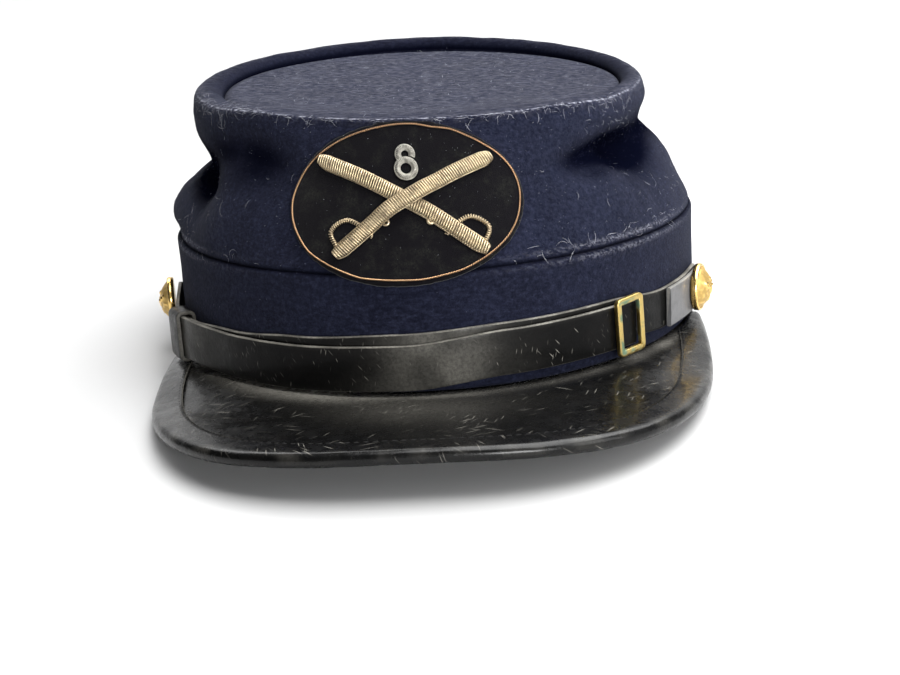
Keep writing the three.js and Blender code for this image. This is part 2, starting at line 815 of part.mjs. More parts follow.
function makeBorder() {
  const lift = patchFace + seatGap + borderDiameter / 2;
  const place = (turn, high) => badgePoint(...ovalPoint(turn, 1, 0), high);
  const loops = [];
  for (let i = 0; i < borderSteps; i += 1) {
    const turn = (2 * Math.PI * i) / borderSteps;
    const centre = place(turn, lift);
    const out = place(turn, lift + 1).sub(centre).normalize();
    const along = place(turn + 0.01, lift).sub(place(turn - 0.01, lift)).normalize();
    loops.push(wireLoop(centre, along.cross(out), out, borderDiameter));
  }
  return ringBody(loops);
}

function badgeCorner(place, mirror) {
  return new THREE.Vector3(mirror * place.across * badgeWidth, place.up * badgeHeight, 0);
}

function sabrePlace(across, up) {
  const turned = new THREE.Vector2(across, up).rotateAround(new THREE.Vector2(), sabreTurn * degrees);
  return [turned.x + sabreSide, turned.y];
}

// A strand on the badge follows a curve through places; section gives each loop's points from its
// place on the curve, the direction across it and the direction away from the cloth.

function strand(places, mirror, steps, liftAt, section) {
  const corners = places.map((place) => badgeCorner(place, mirror));
  const curve = new THREE.CatmullRomCurve3(corners);
  const onBadge = (share, extra) => {
    const point = curve.getPointAt(share);
    return badgePoint(...sabrePlace(point.x, point.y), liftAt(point) + extra);
  };
  const loops = [];
  for (let i = 0; i <= steps; i += 1) {
    const share = i / steps;
    const before = onBadge(Math.max(0, share - 0.01), 0);
    const after = onBadge(Math.min(1, share + 0.01), 0);
    const centre = onBadge(share, 0);
    const out = onBadge(share, 1).sub(centre).normalize();
    const along = after.sub(before).normalize();
    loops.push(section(share, centre, along.cross(out).normalize(), out));
  }
  return barBody(loops, pairedEnd(loops[0].length));
}

function bladeSection(share, centre, side, out) {
  const ends = Math.min(share, 1 - share);
  const half = (bladeWidth / 2) * (0.55 + 0.45 * smooth(0, 0.06, ends));
  const corners = [[-1, 0], [-0.85, 0.6], [-0.35, 1], [0.35, 1], [0.85, 0.6], [1, 0]];
  return corners.map(([across, up]) => centre
    .clone()
    .addScaledVector(side, across * half)
    .addScaledVector(out, up * bladeThickness));
}

function makeSabre(mirror, raised) {
  const flat = patchFace + seatGap;
  const crossing = (point) => bladeThickness * raised + seatGap * raised
    - (bladeThickness + seatGap) * raised * smooth(bladeCrossing, 3 * bladeCrossing, point.length());
  const bladeLift = (point) => flat + crossing(point);
  const wireLift = () => flat + guardDiameter / 2;
  const wire = (share, centre, side, out) => wireLoop(centre, side, out, guardDiameter);
  const knob = new THREE.SphereGeometry(knobDiameter / 2, 8, 6);
  const knobCorner = badgeCorner(sabreKnob, mirror);
  const knobPlace = sabrePlace(knobCorner.x, knobCorner.y);
  const knobCentre = badgePoint(...knobPlace, flat + knobDiameter / 2);
  knob.translate(knobCentre.x, knobCentre.y, knobCentre.z);
  return joined([
    strand(sabreBlade, mirror, bladeSteps, bladeLift, bladeSection),
    strand(sabreBow, mirror, bowSteps, wireLift, wire),
    strand(sabreBar, mirror, 2, wireLift, wire),
    knob,
  ]);
}

// The numeral, a plain figure six: a closed bowl with an open hook that rises from its left

const numeralRise = badgeHeight / 2 - numeralBelowEdge - numeralHeight / 2;

function makeNumeral() {
  const bowl = numeralWidth / 2;
  const hook = bowl * 0.86;
  const bowlMiddle = -numeralHeight / 2 + bowl;
  const hookMiddle = numeralHeight / 2 - hook;
  const waist = (bowlMiddle + bowl + hookMiddle - hook) / 2;
  const bowlOpening = Math.acos((waist - bowlMiddle) / bowl);
  const hookEnd = hookEndTurn * degrees;
  const quarter = Math.PI / 2;
  const outline = new THREE.Shape();
  outline.absarc(0, bowlMiddle, bowl, quarter + bowlOpening, 4 * quarter + quarter - bowlOpening);
  outline.absarc(0, hookMiddle, hook - numeralStroke, 2.4 * quarter, hookEnd, true);
  outline.absarc(0, hookMiddle, hook, hookEnd, 2.4 * quarter);
  const hole = new THREE.Path();
  hole.absarc(0, bowlMiddle, bowl - numeralStroke, 0, 4 * quarter, true);
  outline.holes.push(hole);
  const shape = { depth: numeralThickness, bevelEnabled: false, curveSegments: numeralSteps };
  const centre = badgePoint(numeralSide, numeralRise, patchFace + seatGap);
  const out = crownNormal((badgeSide + numeralSide) / frontRadius / degrees, badgeRise / frontWall);
  const above = badgePoint(numeralSide, numeralRise + 1, patchFace + seatGap).sub(centre);
  const across = above.clone().cross(out).normalize();
  const up = out.clone().cross(across);
  const frame = new THREE.Matrix4().makeBasis(across, up, out).setPosition(centre);
  return new THREE.ExtrudeGeometry(outline, shape).applyMatrix4(frame);
}

// Materials

function material(color, roughness, metalness) {
  return new THREE.MeshStandardMaterial({ color, roughness, metalness });
}

const navyCloth = [0x20243a, 0.95, 0];
const blackLeather = [0x1b1a1a, 0.35, 0];
const strapLeather = [0x211f1e, 0.4, 0];
const paleBrass = [0xa8883f, 0.4, 1];
const giltBrass = [0xc9953c, 0.3, 1];
const blackVelvet = [0x0b0b0e, 1, 0];
const goldWire = [0xb07c45, 0.4, 1];
const silverGilt = [0xa39678, 0.5, 0.8];
const dullSilver = [0x8f8f8c, 0.5, 0.8];

// The whole cap

const cap = new THREE.Group();

function add(name, geometry, finish) {
  const mesh = new THREE.Mesh(geometry, material(...finish));
  mesh.name = name;
  cap.add(mesh);
}

add('crown_side', makeCrownSide(), navyCloth);
add('crown_tip', makeCrownTip(), navyCloth);
add('band', makeBand(), navyCloth);
add('peak', makePeak(), blackLeather);
add('peak_binding', makeBinding(), blackLeather);
add('strap_rear', ribbon(strapLeftEnd, strapRightEnd, rearReach, 'rear', strapRearWidth), strapLeather);
add('strap_front', ribbon(strapFrontStart, strapFrontEnd, frontReach, 'front', strapFrontWidth),
  strapLeather);
add('strap_tab', ribbon(tabStart, strapRightEnd, frontReach, 'rear', tabWidth), strapLeather);
add('strap_keeper', makeKeeper(), strapLeather);
add('strap_buckle', makeBuckle(), paleBrass);
sideButtons.forEach((button) => add(button.name, makeSideButton(button), giltBrass));
add('badge_patch', makePatch(), blackVelvet);
add('badge_border', makeBorder(), goldWire);
add('sabre_upper', makeSabre(1, 1), silverGilt);
add('sabre_lower', makeSabre(-1, 0), silverGilt);
add('badge_numeral', makeNumeral(), dullSilver);

// At rest the cap lies on the back of its band and on the drooping corners of the peak.

function restingTilt() {
  const places = cap.getObjectByName('peak_binding').geometry.getAttribute('position');
  let tilt = 0;
  for (let i = 0; i < places.count; i += 1) {
    tilt = Math.max(tilt, Math.atan2(-places.getZ(i), bandLength / 2 - places.getY(i)));
  }
  return tilt;
}

cap.rotation.x = -restingTilt();
cap.updateMatrixWorld(true);
const bounds = new THREE.Box3().setFromObject(cap, true);
const middle = bounds.getCenter(new THREE.Vector3());
cap.position.set(-middle.x, -middle.y, -bounds.min.z);

const kepi = new THREE.Group();
kepi.add(cap);

export default kepi;
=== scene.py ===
import bmesh
import bpy
import math
import numpy as np
from mathutils import Matrix, Vector, noise


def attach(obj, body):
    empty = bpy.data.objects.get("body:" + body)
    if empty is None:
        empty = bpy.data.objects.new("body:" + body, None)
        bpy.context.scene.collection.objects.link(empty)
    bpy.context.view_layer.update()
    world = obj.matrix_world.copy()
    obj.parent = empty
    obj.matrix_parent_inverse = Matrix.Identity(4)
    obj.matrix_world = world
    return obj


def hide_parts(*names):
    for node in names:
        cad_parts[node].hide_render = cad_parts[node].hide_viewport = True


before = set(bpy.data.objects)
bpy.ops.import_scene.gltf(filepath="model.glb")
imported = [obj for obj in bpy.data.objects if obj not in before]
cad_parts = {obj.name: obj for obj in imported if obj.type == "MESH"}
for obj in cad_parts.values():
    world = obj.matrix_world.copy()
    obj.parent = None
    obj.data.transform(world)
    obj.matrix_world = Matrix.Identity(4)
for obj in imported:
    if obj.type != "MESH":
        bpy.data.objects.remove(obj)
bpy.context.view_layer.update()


# Sizes in mm in the cap's own frame: front is -Y, z = 0 is the band's lower edge, angles run round
# the cap from the front towards +X in degrees. restPose puts that frame on the floor.
band = dict(width=166, length=200, height=32.5, wall=3, pullAngle=-74, pullSpread=15, pullDrop=0.11,
            edgeShare=0.04, wave=0.25)
crown = dict(
    wall=2, rimRadius=3.6, tipWidth=139.4, tipLength=142, tipHeight=76.5, tipForward=13.5,
    tipSide=-1.8, tipPitch=5.5, tipRoll=-1.8, tipSink=2.8, tipWall=2, tipFlat=0.45, tipSag=0.5,
    tipWave=0.35, seamRoll=1.1, seamShare=0.03, seamPucker=0.22, ripple=0.35, rimWave=0.22,
    clothHex="#131625", clothDarkHex="#090b17", napHex="#26293a", wearHex="#a6a7b3",
    foldShadeHex="#04050f", lintHex="#74768a", sheenHex="#9296a8",
)
peak = dict(
    width=160.6, reach=46.5, hornAhead=22, hornShare=0.985, squareness=2.85, wall=1.8, slope=-0.5,
    droop=5, droopRun=24, wave=0.15, bindingWall=0.8, bindingTop=6.5, bindingUnder=5,
    bindingLip=0.35, bindingWave=0.12, stitchPitch=2.3, stitchShare=0.72, stitchInset=1,
    leatherHex="#070707", grainHex="#11100f", scuffAndHighlightHex="#8d8a82", threadHex="#0c0b0b",
)
strap = dict(
    wall=1.4, frontWidth=12.5, rearWidth=11.5, leftEnd=-79, frontStart=-66, frontEnd=42.5,
    rightEnd=73, tabStart=54, tabWidth=11.5, corner=0.4, belly=0.1, wave=0.12,
    leatherHex="#080808", tabHex="#5b5b5c",
)
keeper = dict(wall=1.2, length=11, angle=-61.5, corner=0.8, lip=0.3, wear=0.35)
buckle = dict(width=11, height=16.6, bar=1.8, wall=1.5, corner=0.7, squareness=0.35, dents=0.04,
              angle=40.1, rise=10.6, turn=3.5, brassHex="#c3aa68", tarnishHex="#4a7566")
button = dict(
    diameter=14.4, edge=1.6, dome=2.9, full=2.6, rim=1, relief=0.5, grain=0.24, beads=36, bead=0.12,
    leftAngle=-76, leftRise=0.35, rightAngle=67, rightRise=0.335,
    giltHex="#f3cd7d", grimeHex="#6b5526",
)
badge = dict(
    width=61.2, height=42, turn=4.4, side=-1.8, rise=18.6, margin=1.2, wall=1.2, ragged=0.25,
    borderPitch=1.3, borderLift=0.42, borderTwist=0.16, borderWire=0.11, borderDrift=0.28,
    velvetHex="#070609", dustHex="#35372f", borderHex="#d0a67e", borderTarnishAndShadeHex="#3a2717",
)
sabre = dict(
    side=0.7, turn=-0.4, width=4.2, thick=1.6, crossing=4, coilPitch=0.66, wire=0.529, edgeWire=0.24,
    hiltPitch=0.62, hiltWire=0.34, bowHalf=0.55, barHalf=0.5, knobRing=0.72, knobWire=0.42,
    bullionHex="#c6b495", darkHex="#5d5040",
)
numeral = dict(width=6.4, height=9.8, stroke=1.7, side=1.3, rise=10.8, hookEnd=-22, hookStart=216,
               hookShare=0.86, coilPitch=0.4, coilWire=0.15, edgeWire=0.19, edgeInset=0.14,
               edgeLift=0.45, silverHex="#a9a69d", darkHex="#45433f")
lint = dict(specks=900, tipHairs=110, fuzz=26000, quickFuzz=5000, fuzzWide=0.032,
            hairHex="#a9aab2", fuzzHex="#232740")
light = dict(top=17, key=3.2, front=8, back=28, world=0.42, worldHex="#f4f6fa", floorHex="#b4b4b4")
camera = dict(place=(26.0, -460.9, 113.7), elevation=15.29, yaw=2.94, roll=3.49, lens=56.6)
gap = 0.3

# Columns: angle, height up the wall, spread in degrees, spread in height, slant, depth
crownFolds = [
    (-38, 0.72, 10, 0.13, -0.03, -0.05), (-48, 0.40, 6, 0.24, 0.0, 0.03),
    (-60, 0.42, 8, 0.22, 0.02, -0.05), (-84, 0.54, 19, 0.15, 0.0, -0.105),
    (-82, 0.45, 16, 0.05, 0.0, -0.035), (-92, 0.22, 22, 0.13, 0.0, 0.06),
    (42, 0.63, 8, 0.08, 0.04, -0.05), (58, 0.61, 6.5, 0.10, -0.03, -0.115),
    (76, 0.50, 9, 0.20, 0.0, 0.02), (88, 0.73, 22, 0.12, 0.0, -0.078),
    (104, 0.45, 28, 0.20, 0.0, -0.032), (180, 0.50, 45, 0.30, 0.0, 0.05),
    (-140, 0.60, 12, 0.18, 0.05, -0.04), (142, 0.62, 14, 0.16, -0.05, -0.04),
]
# Painted shade in the crown's folds. Columns: angle, height, spread in degrees, spread in height,
# amount
foldShade = [(-38, 0.66, 7, 0.1, 0.85), (-49, 0.75, 9, 0.09, 0.85), (-34, 0.7, 5, 0.06, 0.7),
             (-54, 0.54, 6, 0.07, 0.5), (59, 0.5, 5, 0.08, 0.9), (56, 0.6, 4, 0.06, 0.9),
             (50, 0.57, 5, 0.05, 0.9), (44, 0.53, 5, 0.04, 0.7)]
# Columns: angle, lift, rise, outer, inner, bend
rimShape = [(-180, 0.016, 0, 1, 1, 1), (-130, 0.006, 0, 1, 1.1, 1), (-85, 0, 0, 1, 1.55, 1),
            (-58, 0.004, 0.012, 0.9, 1.5, 0.9), (-34, 0.022, 0.048, 0.5, 1, 0.5),
            (34, 0.022, 0.048, 0.5, 1, 0.5), (58, 0.005, 0.012, 0.9, 1, 0.9), (90, 0, 0, 1, 1, 1),
            (180, 0.016, 0, 1, 1, 1)]
# Columns: angle, tuck
seamTuck = [(-180, 0.1), (-90, 0.45), (-45, 0.1), (45, 0.1), (90, 0.2), (180, 0.1)]
# Columns: angle, front, rear
strapLie = [(-80, 0.4, 0.62), (-70, 0.2, 0.26), (-58, 0.2, 0.22), (-40, 0.06, 0.19),
            (-25, 0.06, 0.3), (-4, 0.11, 0.41), (15, 0.3, 0.5), (37, 0.34, 0.52),
            (54, 0.34, 0.34), (80, 0.34, 0.34)]
# Columns: across, up, long, wide, turn, rise
eagleForms = [(0, -0.04, 0.3, 0.15, 90, 1), (0.05, 0.4, 0.13, 0.1, 60, 0.9),
              (-0.36, 0.16, 0.36, 0.15, -38, 0.8), (0.36, 0.16, 0.36, 0.15, 38, 0.8),
              (0, -0.48, 0.17, 0.16, 90, 0.7)]
# Columns: across, up, as shares of the badge's width
sabreBlade = [(0.385, 0.185), (0.19, 0.113), (0.012, 0.018), (-0.095, -0.05), (-0.306, -0.232)]
sabreBow = [(-0.172, -0.117), (-0.255, -0.078), (-0.325, -0.129), (-0.288, -0.215)]
sabreBar = [(-0.19, -0.104), (-0.149, -0.151)]
sabreKnob = (-0.092, -0.087)

restPose = (Matrix.Translation((1.7331, 23.5193, 5.1878))
            @ Matrix.Rotation(math.radians(-2.973733), 4, "X"))
tipPose = (Matrix.Translation((crown["tipSide"], -crown["tipForward"], crown["tipHeight"]))
           @ Matrix.Rotation(math.radians(-crown["tipRoll"]), 4, "Y")
           @ Matrix.Rotation(math.radians(crown["tipPitch"]), 4, "X"))
rng = np.random.default_rng(7)


# Curves and places

def bell(offset, spread):
    return np.exp(-0.5 * (np.asarray(offset) / spread) ** 2)


def smooth(low, high, value):
    t = np.clip((np.asarray(value, float) - low) / (high - low), 0, 1)
    return t * t * (3 - 2 * t)


def rollOff(share):
    # how far a rounded edge of radius 1 falls back: 1 at the edge itself, 0 from share 1 on
    return 1 - np.sqrt(np.clip(1 - (1 - np.clip(share, 0, 1)) ** 2, 0, 1))


def around(count, whole=2 * np.pi):
    return np.linspace(0, whole, count, endpoint=False)


def arcLength(line, power=1):
    return np.concatenate([[0], np.cumsum(np.linalg.norm(np.diff(line, axis=0), axis=1) ** power)])


def turnBetween(angle, centre):
    return (np.asarray(angle, float) - centre + 180) % 360 - 180


def readTable(rows, column, angle):
    table = np.array(rows, float)
    place = np.clip(angle, table[0, 0], table[-1, 0])
    after = np.clip(np.searchsorted(table[:, 0], place), 1, len(table) - 1)
    a, b = table[after - 1], table[after]
    return a[..., column] + (b - a)[..., column] * smooth(a[..., 0], b[..., 0], place)


def stack(x, y, z):
    return np.stack(np.broadcast_arrays(np.asarray(x, float), y, z), -1)


def unit(v):
    return v / np.maximum(np.linalg.norm(v, axis=-1, keepdims=True), 1e-9)


def alongLoop(path):
    return unit(np.roll(path, -1, 0) - np.roll(path, 1, 0))


def sideways(along):
    return np.stack([along[:, 1], -along[:, 0]], -1)


def moved(pose, points):
    m = np.array(pose)
    return points @ m[:3, :3].T + m[:3, 3]


def bandOutward(angle):
    t = np.radians(angle)
    return unit(stack(np.sin(t) / band["width"], -np.cos(t) / band["length"], 0))


def bandPoint(angle, out, height):
    t = np.radians(angle)
    base = stack(band["width"] / 2 * np.sin(t), -band["length"] / 2 * np.cos(t), height)
    return base + bandOutward(angle) * np.asarray(out, float)[..., None]


def bandBottom(angle):
    away = turnBetween(angle, band["pullAngle"])
    return -band["pullDrop"] * band["height"] * bell(away, band["pullSpread"])


def rimValue(angle, column):
    return readTable(rimShape, column, turnBetween(angle, 0))


def rimPoint(angle, roll, radius, drop=0):
    angle, roll = np.broadcast_arrays(np.asarray(angle, float), np.asarray(roll, float))
    t, r = np.radians(angle), np.radians(roll)
    rim, bend = crown["rimRadius"], rimValue(angle, 5)
    sideways = np.sign(np.cos(r)) * np.abs(np.cos(r)) ** bend
    upwards = np.abs(np.sin(r)) ** bend
    outer = np.where(roll < 90, rimValue(angle, 3), 1)
    inner = np.where(roll < 90, 1, rimValue(angle, 4))
    out = (rim * inner - (rim - radius)) * sideways - rim
    high = (rim * outer - (rim - radius)) * upwards - rim * outer
    up = high + rimValue(angle, 1) * crown["tipHeight"] - drop
    across = (crown["tipWidth"] / 2 + out) * np.sin(t)
    along = (-crown["tipLength"] / 2 - out) * np.cos(t)
    return moved(tipPose, stack(across, along, up))


def tipPlace(angle, share):
    t = np.radians(angle)
    edge = crown["rimRadius"] * (1 + rimValue(angle, 4)) + gap
    rise = rimValue(angle, 2) * crown["tipHeight"] * smooth(crown["tipFlat"], 1, share)
    return stack((crown["tipWidth"] / 2 - edge) * share * np.sin(t),
                 (edge - crown["tipLength"] / 2) * share * np.cos(t), rise - crown["tipSink"])


def foldDepth(angle, height):
    depth = 0
    for foldAngle, foldHeight, spread, heightSpread, slant, deep in crownFolds:
        turn = turnBetween(angle, foldAngle)
        rise = height - foldHeight - slant * turn / 10
        depth = depth + deep * crown["tipHeight"] * bell(turn, spread) * bell(rise, heightSpread)
    return depth * smooth(0, 0.12, height) * (1 - smooth(0.86, 1, height))


# strength of the painted fold shade at a place on the crown's wall
def shadeAt(turn, height):
    shades = [amount * bell(turn - middle, spread) * bell(height - up, upSpread)
              for middle, up, spread, upSpread, amount in foldShade]
    return np.max(shades, axis=0)


def crownPoint(angle, height):
    angle, height = np.broadcast_arrays(np.asarray(angle, float), np.asarray(height, float))
    tuck = readTable(seamTuck, 1, turnBetween(angle, 0)) * band["wall"]
    foot = bandPoint(angle, -tuck, band["height"] + gap)
    rim = rimPoint(angle, 0, crown["rimRadius"])
    out = bandOutward(angle) * foldDepth(angle, height)[..., None]
    return foot + (rim - foot) * height[..., None] + out


def crownNormal(angle, height):
    low = np.clip(height, 0, 0.99)
    up = crownPoint(angle, low + 0.01) - crownPoint(angle, low)
    left, right = (crownPoint(np.asarray(angle) + step, height) for step in (-0.05, 0.05))
    return unit(np.cross(right - left, up))


frontWall = float(np.linalg.norm(crownPoint(0.0, 0.0) - crownPoint(0.0, 1.0)))
frontRadius = (band["width"] + crown["tipWidth"]) / 4
patchFace = gap + badge["wall"]


def badgePoint(across, up, lift):
    angle = np.degrees((badge["side"] + np.asarray(across, float)) / frontRadius)
    height = (badge["rise"] + np.asarray(up, float)) / frontWall
    angle, height, lift = np.broadcast_arrays(angle, height, np.asarray(lift, float))
    roll = np.degrees(np.maximum(0, (height - 1) * frontWall) / crown["rimRadius"])
    rim = crown["rimRadius"]
    place = np.where((height < 1)[..., None], crownPoint(angle, np.clip(height, -0.5, 1)),
                     rimPoint(angle, roll, rim))
    over = unit(rimPoint(angle, roll, rim + 1) - rimPoint(angle, roll, rim))
    lean = smooth(0, 20, roll)[..., None]
    normal = crownNormal(angle, np.clip(height, 0, 1))
    return place + unit(normal * (1 - lean) + over * lean) * lift[..., None]


def fromBadge(angle, height):
    # a place on the crown's wall as mm across and up from the badge's middle
    return np.radians(angle) * frontRadius - badge["side"], height * frontWall - badge["rise"]


def ovalPlace(turn, share, margin):
    tilt = math.radians(badge["turn"])
    x = share * (badge["width"] / 2 + margin) * np.cos(turn)
    y = share * (badge["height"] / 2 + margin) * np.sin(turn)
    return x * math.cos(tilt) - y * math.sin(tilt), x * math.sin(tilt) + y * math.cos(tilt)


def peakEdge(share):
    turn = np.radians(np.asarray(share, float) * 90)
    power = 2 / peak["squareness"]
    reach = band["length"] / 2 + peak["reach"] - peak["hornAhead"]
    across = peak["width"] / 2 * np.sign(turn) * np.abs(np.sin(turn)) ** power
    return np.stack([across, -peak["hornAhead"] - reach * np.cos(turn) ** power], -1)


def aheadOfBand(place):
    ring = np.hypot(2 * place[..., 0] / band["width"], 2 * place[..., 1] / band["length"])
    return np.maximum(0, np.linalg.norm(place, axis=-1) * (1 - 1 / ring))


def peakMiddle(place):
    ahead = aheadOfBand(place)
    side = (2 * place[..., 0] / peak["width"]) ** 2
    angle = np.degrees(np.arctan2(place[..., 0] / band["width"], -place[..., 1] / band["length"]))
    root = bandBottom(angle) - gap - peak["wall"] / 2
    droop = peak["droop"] * side * smooth(0, peak["droopRun"], ahead)
    return root - math.tan(math.radians(peak["slope"])) * ahead - droop


keeperHalfAngle = math.degrees(
    keeper["length"] / float(np.linalg.norm(bandPoint(keeper["angle"], 0, 0)))) / 2


def rearReach(angle):
    away = np.abs(turnBetween(angle, keeper["angle"]))
    return gap + (keeper["wall"] + gap) * (1 - smooth(2 * keeperHalfAngle, 5 * keeperHalfAngle, away))


def frontReach(angle):
    return rearReach(angle) + strap["wall"] + gap


def outerReach(angle):
    return frontReach(angle) + strap["wall"] + gap


def strapLow(angle, layer):
    return bandBottom(angle) + readTable(strapLie, layer, angle) * strap["frontWidth"]


def waves(points, size, seed=0.0):
    return np.array([noise.noise(Vector((p[0] / size + seed, p[1] / size, p[2] / size)))
                     for p in points.reshape(-1, 3)]).reshape(points.shape[:-1])


# Meshes: a solid is its points in mm, its quads and, for some, its triangles

def gridFaces(rows, columns, closeRows=False, closeColumns=False):
    i = np.arange(rows if closeRows else rows - 1)[:, None]
    j = np.arange(columns if closeColumns else columns - 1)[None, :]
    i2, j2 = (i + 1) % rows, (j + 1) % columns
    quads = np.stack(np.broadcast_arrays(i * columns + j, i2 * columns + j,
                                         i2 * columns + j2, i * columns + j2), -1)
    return quads.reshape(-1, 4)


def facingOut(points, faces):
    a, b, c, d = (points[faces[:, k]] for k in range(4))
    volume = np.einsum("ij,ij->", a, np.cross(b, c)) + np.einsum("ij,ij->", a, np.cross(c, d))
    return faces if volume > 0 else faces[:, ::-1]


def ringSolid(loops):
    points = loops.reshape(-1, 3)
    return points, facingOut(points, gridFaces(*loops.shape[:2], True, True))


def barSolid(loops):
    rows, columns = loops.shape[:2]
    k = np.arange(columns // 2 - 1)
    cap = np.stack([k, k + 1, columns - 2 - k, columns - 1 - k], -1)
    far = (rows - 1) * columns
    faces = np.concatenate([gridFaces(rows, columns, False, True), cap, far + cap[:, ::-1]])
    points = loops.reshape(-1, 3)
    return points, facingOut(points, faces)


def fanSolid(loops, *middles):
    # rings round a middle, closed by a fan at the first ring and, with two middles, at the last
    rows, columns = loops.shape[:2]
    hub, i = rows * columns, np.arange(rows)
    j = (i + 1) % rows
    fans = [np.stack([0 * i + hub, i * columns, j * columns], -1)]
    if len(middles) > 1:
        fans.append(np.stack([0 * i + hub + 1, (j + 1) * columns - 1, (i + 1) * columns - 1], -1))
    points = np.concatenate([loops.reshape(-1, 3), middles])
    return points, facingOut(points, gridFaces(rows, columns, True)), np.concatenate(fans)


def joinSolids(parts):
    points, faces, count = [], [], 0
    for p, f in parts:
        points.append(p)
        faces.append(f + count)
        count += len(p)
    return np.concatenate(points), np.concatenate(faces)


def addPiece(name, solid, values, look, slot=None, nodes=(), sharp=None):
    points, *faces = solid
    mesh = bpy.data.meshes.new(name)
    mesh.from_pydata((moved(restPose, points) * 0.001).tolist(), [],
                     [face for part in faces for face in part.tolist()])
    if len(faces) > 1:
        work = bmesh.new()
        work.from_mesh(mesh)
        bmesh.ops.recalc_face_normals(work, faces=work.faces)
        work.to_mesh(mesh)
        work.free()
    mesh.polygons.foreach_set("use_smooth", np.ones(len(mesh.polygons), bool))
    for key, array in values.items():
        array = np.asarray(array, np.float32)
        kind = "FLOAT" if array.size == len(points) else "FLOAT_VECTOR"
        stored = mesh.attributes.new(key, kind, "POINT")
        stored.data.foreach_set("value" if kind == "FLOAT" else "vector", array.ravel())
    if sharp:
        mesh.set_sharp_from_angle(angle=math.radians(sharp))
    mesh.materials.append(look)
    piece = bpy.data.objects.new(name, mesh)
    bpy.context.collection.objects.link(piece)
    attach(piece, "root")
    if nodes:
        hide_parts(*nodes)


def tube(path, out, radius, sides=6, closed=False):
    along = alongLoop(path) if closed else unit(np.gradient(path, axis=0))
    side = unit(np.cross(along, out))
    up = unit(np.cross(side, along))
    t = around(sides)[:, None] + (0 if closed else np.pi / sides)
    radius = np.broadcast_to(np.asarray(radius, float), len(path))[:, None, None]
    loops = path[:, None] + radius * (side[:, None] * np.cos(t) + up[:, None] * np.sin(t))
    return ringSolid(loops) if closed else barSolid(loops)


def curveThrough(corners, count):
    # centripetal curve through the corners, as evenly spaced places and their arc lengths
    c = np.array(corners, float)
    ends = np.vstack([2 * c[0] - c[1], c, 2 * c[-1] - c[-2]])
    knots = arcLength(ends, 0.5)
    fine = []
    for i in range(1, len(ends) - 2):
        t = np.linspace(knots[i], knots[i + 1], 60, endpoint=i == len(ends) - 3)[:, None]
        k, row = knots[i - 1:i + 3], list(ends[i - 1:i + 3])
        for spans in (((0, 1), (1, 2), (2, 3)), ((0, 2), (1, 3)), ((1, 2),)):
            row = [((k[b] - t) * p + (t - k[a]) * q) / (k[b] - k[a])
                   for (a, b), p, q in zip(spans, row, row[1:])]
        fine.append(row[0])
    fine = np.concatenate(fine)
    arc = arcLength(fine)
    share = np.linspace(0, arc[-1], count)
    return np.stack([np.interp(share, arc, fine[:, k]) for k in range(2)], -1), share


def sabrePlace(x, y):
    c, s = math.cos(math.radians(sabre["turn"])), math.sin(math.radians(sabre["turn"]))
    return x * c - y * s + sabre["side"], x * s + y * c


def onBadge(x, y, lift):
    # places on the badge and the way out of it there
    centre = badgePoint(x, y, lift)
    return centre, unit(badgePoint(x, y, lift + 1) - centre)


def bundle(places, lift, halfWide, halfHigh, pitch, wire, perTurn, lean=0.0, wobble=0.0):
    # wire wound round a flat core that lies on the badge
    path, arc = curveThrough(places, 400)
    s = np.linspace(0, arc[-1], int(arc[-1] / pitch * perTurn))
    phase = 2 * np.pi * s / pitch
    shake = wobble * np.interp(s, np.linspace(0, arc[-1], 40), rng.standard_normal(40))
    x, y = (np.interp(s, arc, path[:, k]) for k in range(2))
    high = lift(x, y)
    centre, out = onBadge(*sabrePlace(x, y), high)
    along = unit(np.gradient(centre, axis=0))
    side = unit(np.cross(along, out))
    wide = halfWide(s / arc[-1]) * np.cos(phase)
    high = np.maximum(np.sin(phase), -0.35) * halfHigh * (1 + shake)
    helix = centre + side * wide[:, None] + out * high[:, None] + along * (lean * wide)[:, None]
    return tube(helix, out, wire / 2, 5)


print("curves and meshes ready")


# Shading

def linear(hexColour):
    parts = [int(hexColour[i:i + 2], 16) / 255 for i in (1, 3, 5)]
    return (*[c / 12.92 if c <= 0.04045 else ((c + 0.055) / 1.055) ** 2.4 for c in parts], 1)


def plug(tree, node, inputs):
    for key, value in inputs.items():
        if isinstance(value, bpy.types.NodeSocket):
            tree.links.new(value, node.inputs[key])
        else:
            node.inputs[key].default_value = value


def addNode(tree, kind, inputs=None, **settings):
    node = tree.nodes.new("ShaderNode" + kind)
    for key, value in settings.items():
        setattr(node, key, value)
    plug(tree, node, inputs or {})
    return node


def newLook(name):
    look = bpy.data.materials.new(name)
    look.use_nodes = True
    tree = look.node_tree
    tree.nodes.clear()
    shader = addNode(tree, "BsdfPrincipled")
    addNode(tree, "OutputMaterial", {"Surface": shader.outputs[0]})
    return look, tree, shader, addNode(tree, "TexCoord").outputs["Object"]


def mixed(tree, share, first, second):
    return addNode(tree, "Mix", {0: share, 6: first, 7: second}, data_type="RGBA").outputs[2]


def ranged(tree, value, low, high, to=(0.0, 1.0)):
    return addNode(tree, "MapRange", {"Value": value, "From Min": low, "From Max": high,
                                      "To Min": to[0], "To Max": to[1]}).outputs[0]


def merged(tree, a, b, operation="MULTIPLY"):
    return addNode(tree, "Math", {0: a, 1: b}, operation=operation).outputs[0]


def grain(tree, where, size, detail=3.0, rough=0.55):
    # size is the pattern's real size in mm
    return addNode(tree, "TexNoise", {"Vector": where, "Scale": 1000 / size, "Detail": detail,
                                      "Roughness": rough}).outputs[0]


def patches(tree, where, size, detail, rough, low, high, to=(0.0, 1.0)):
    return ranged(tree, grain(tree, where, size, detail, rough), low, high, to)


def field(tree, name, kind="Fac"):
    return addNode(tree, "Attribute", attribute_name=name).outputs[kind]


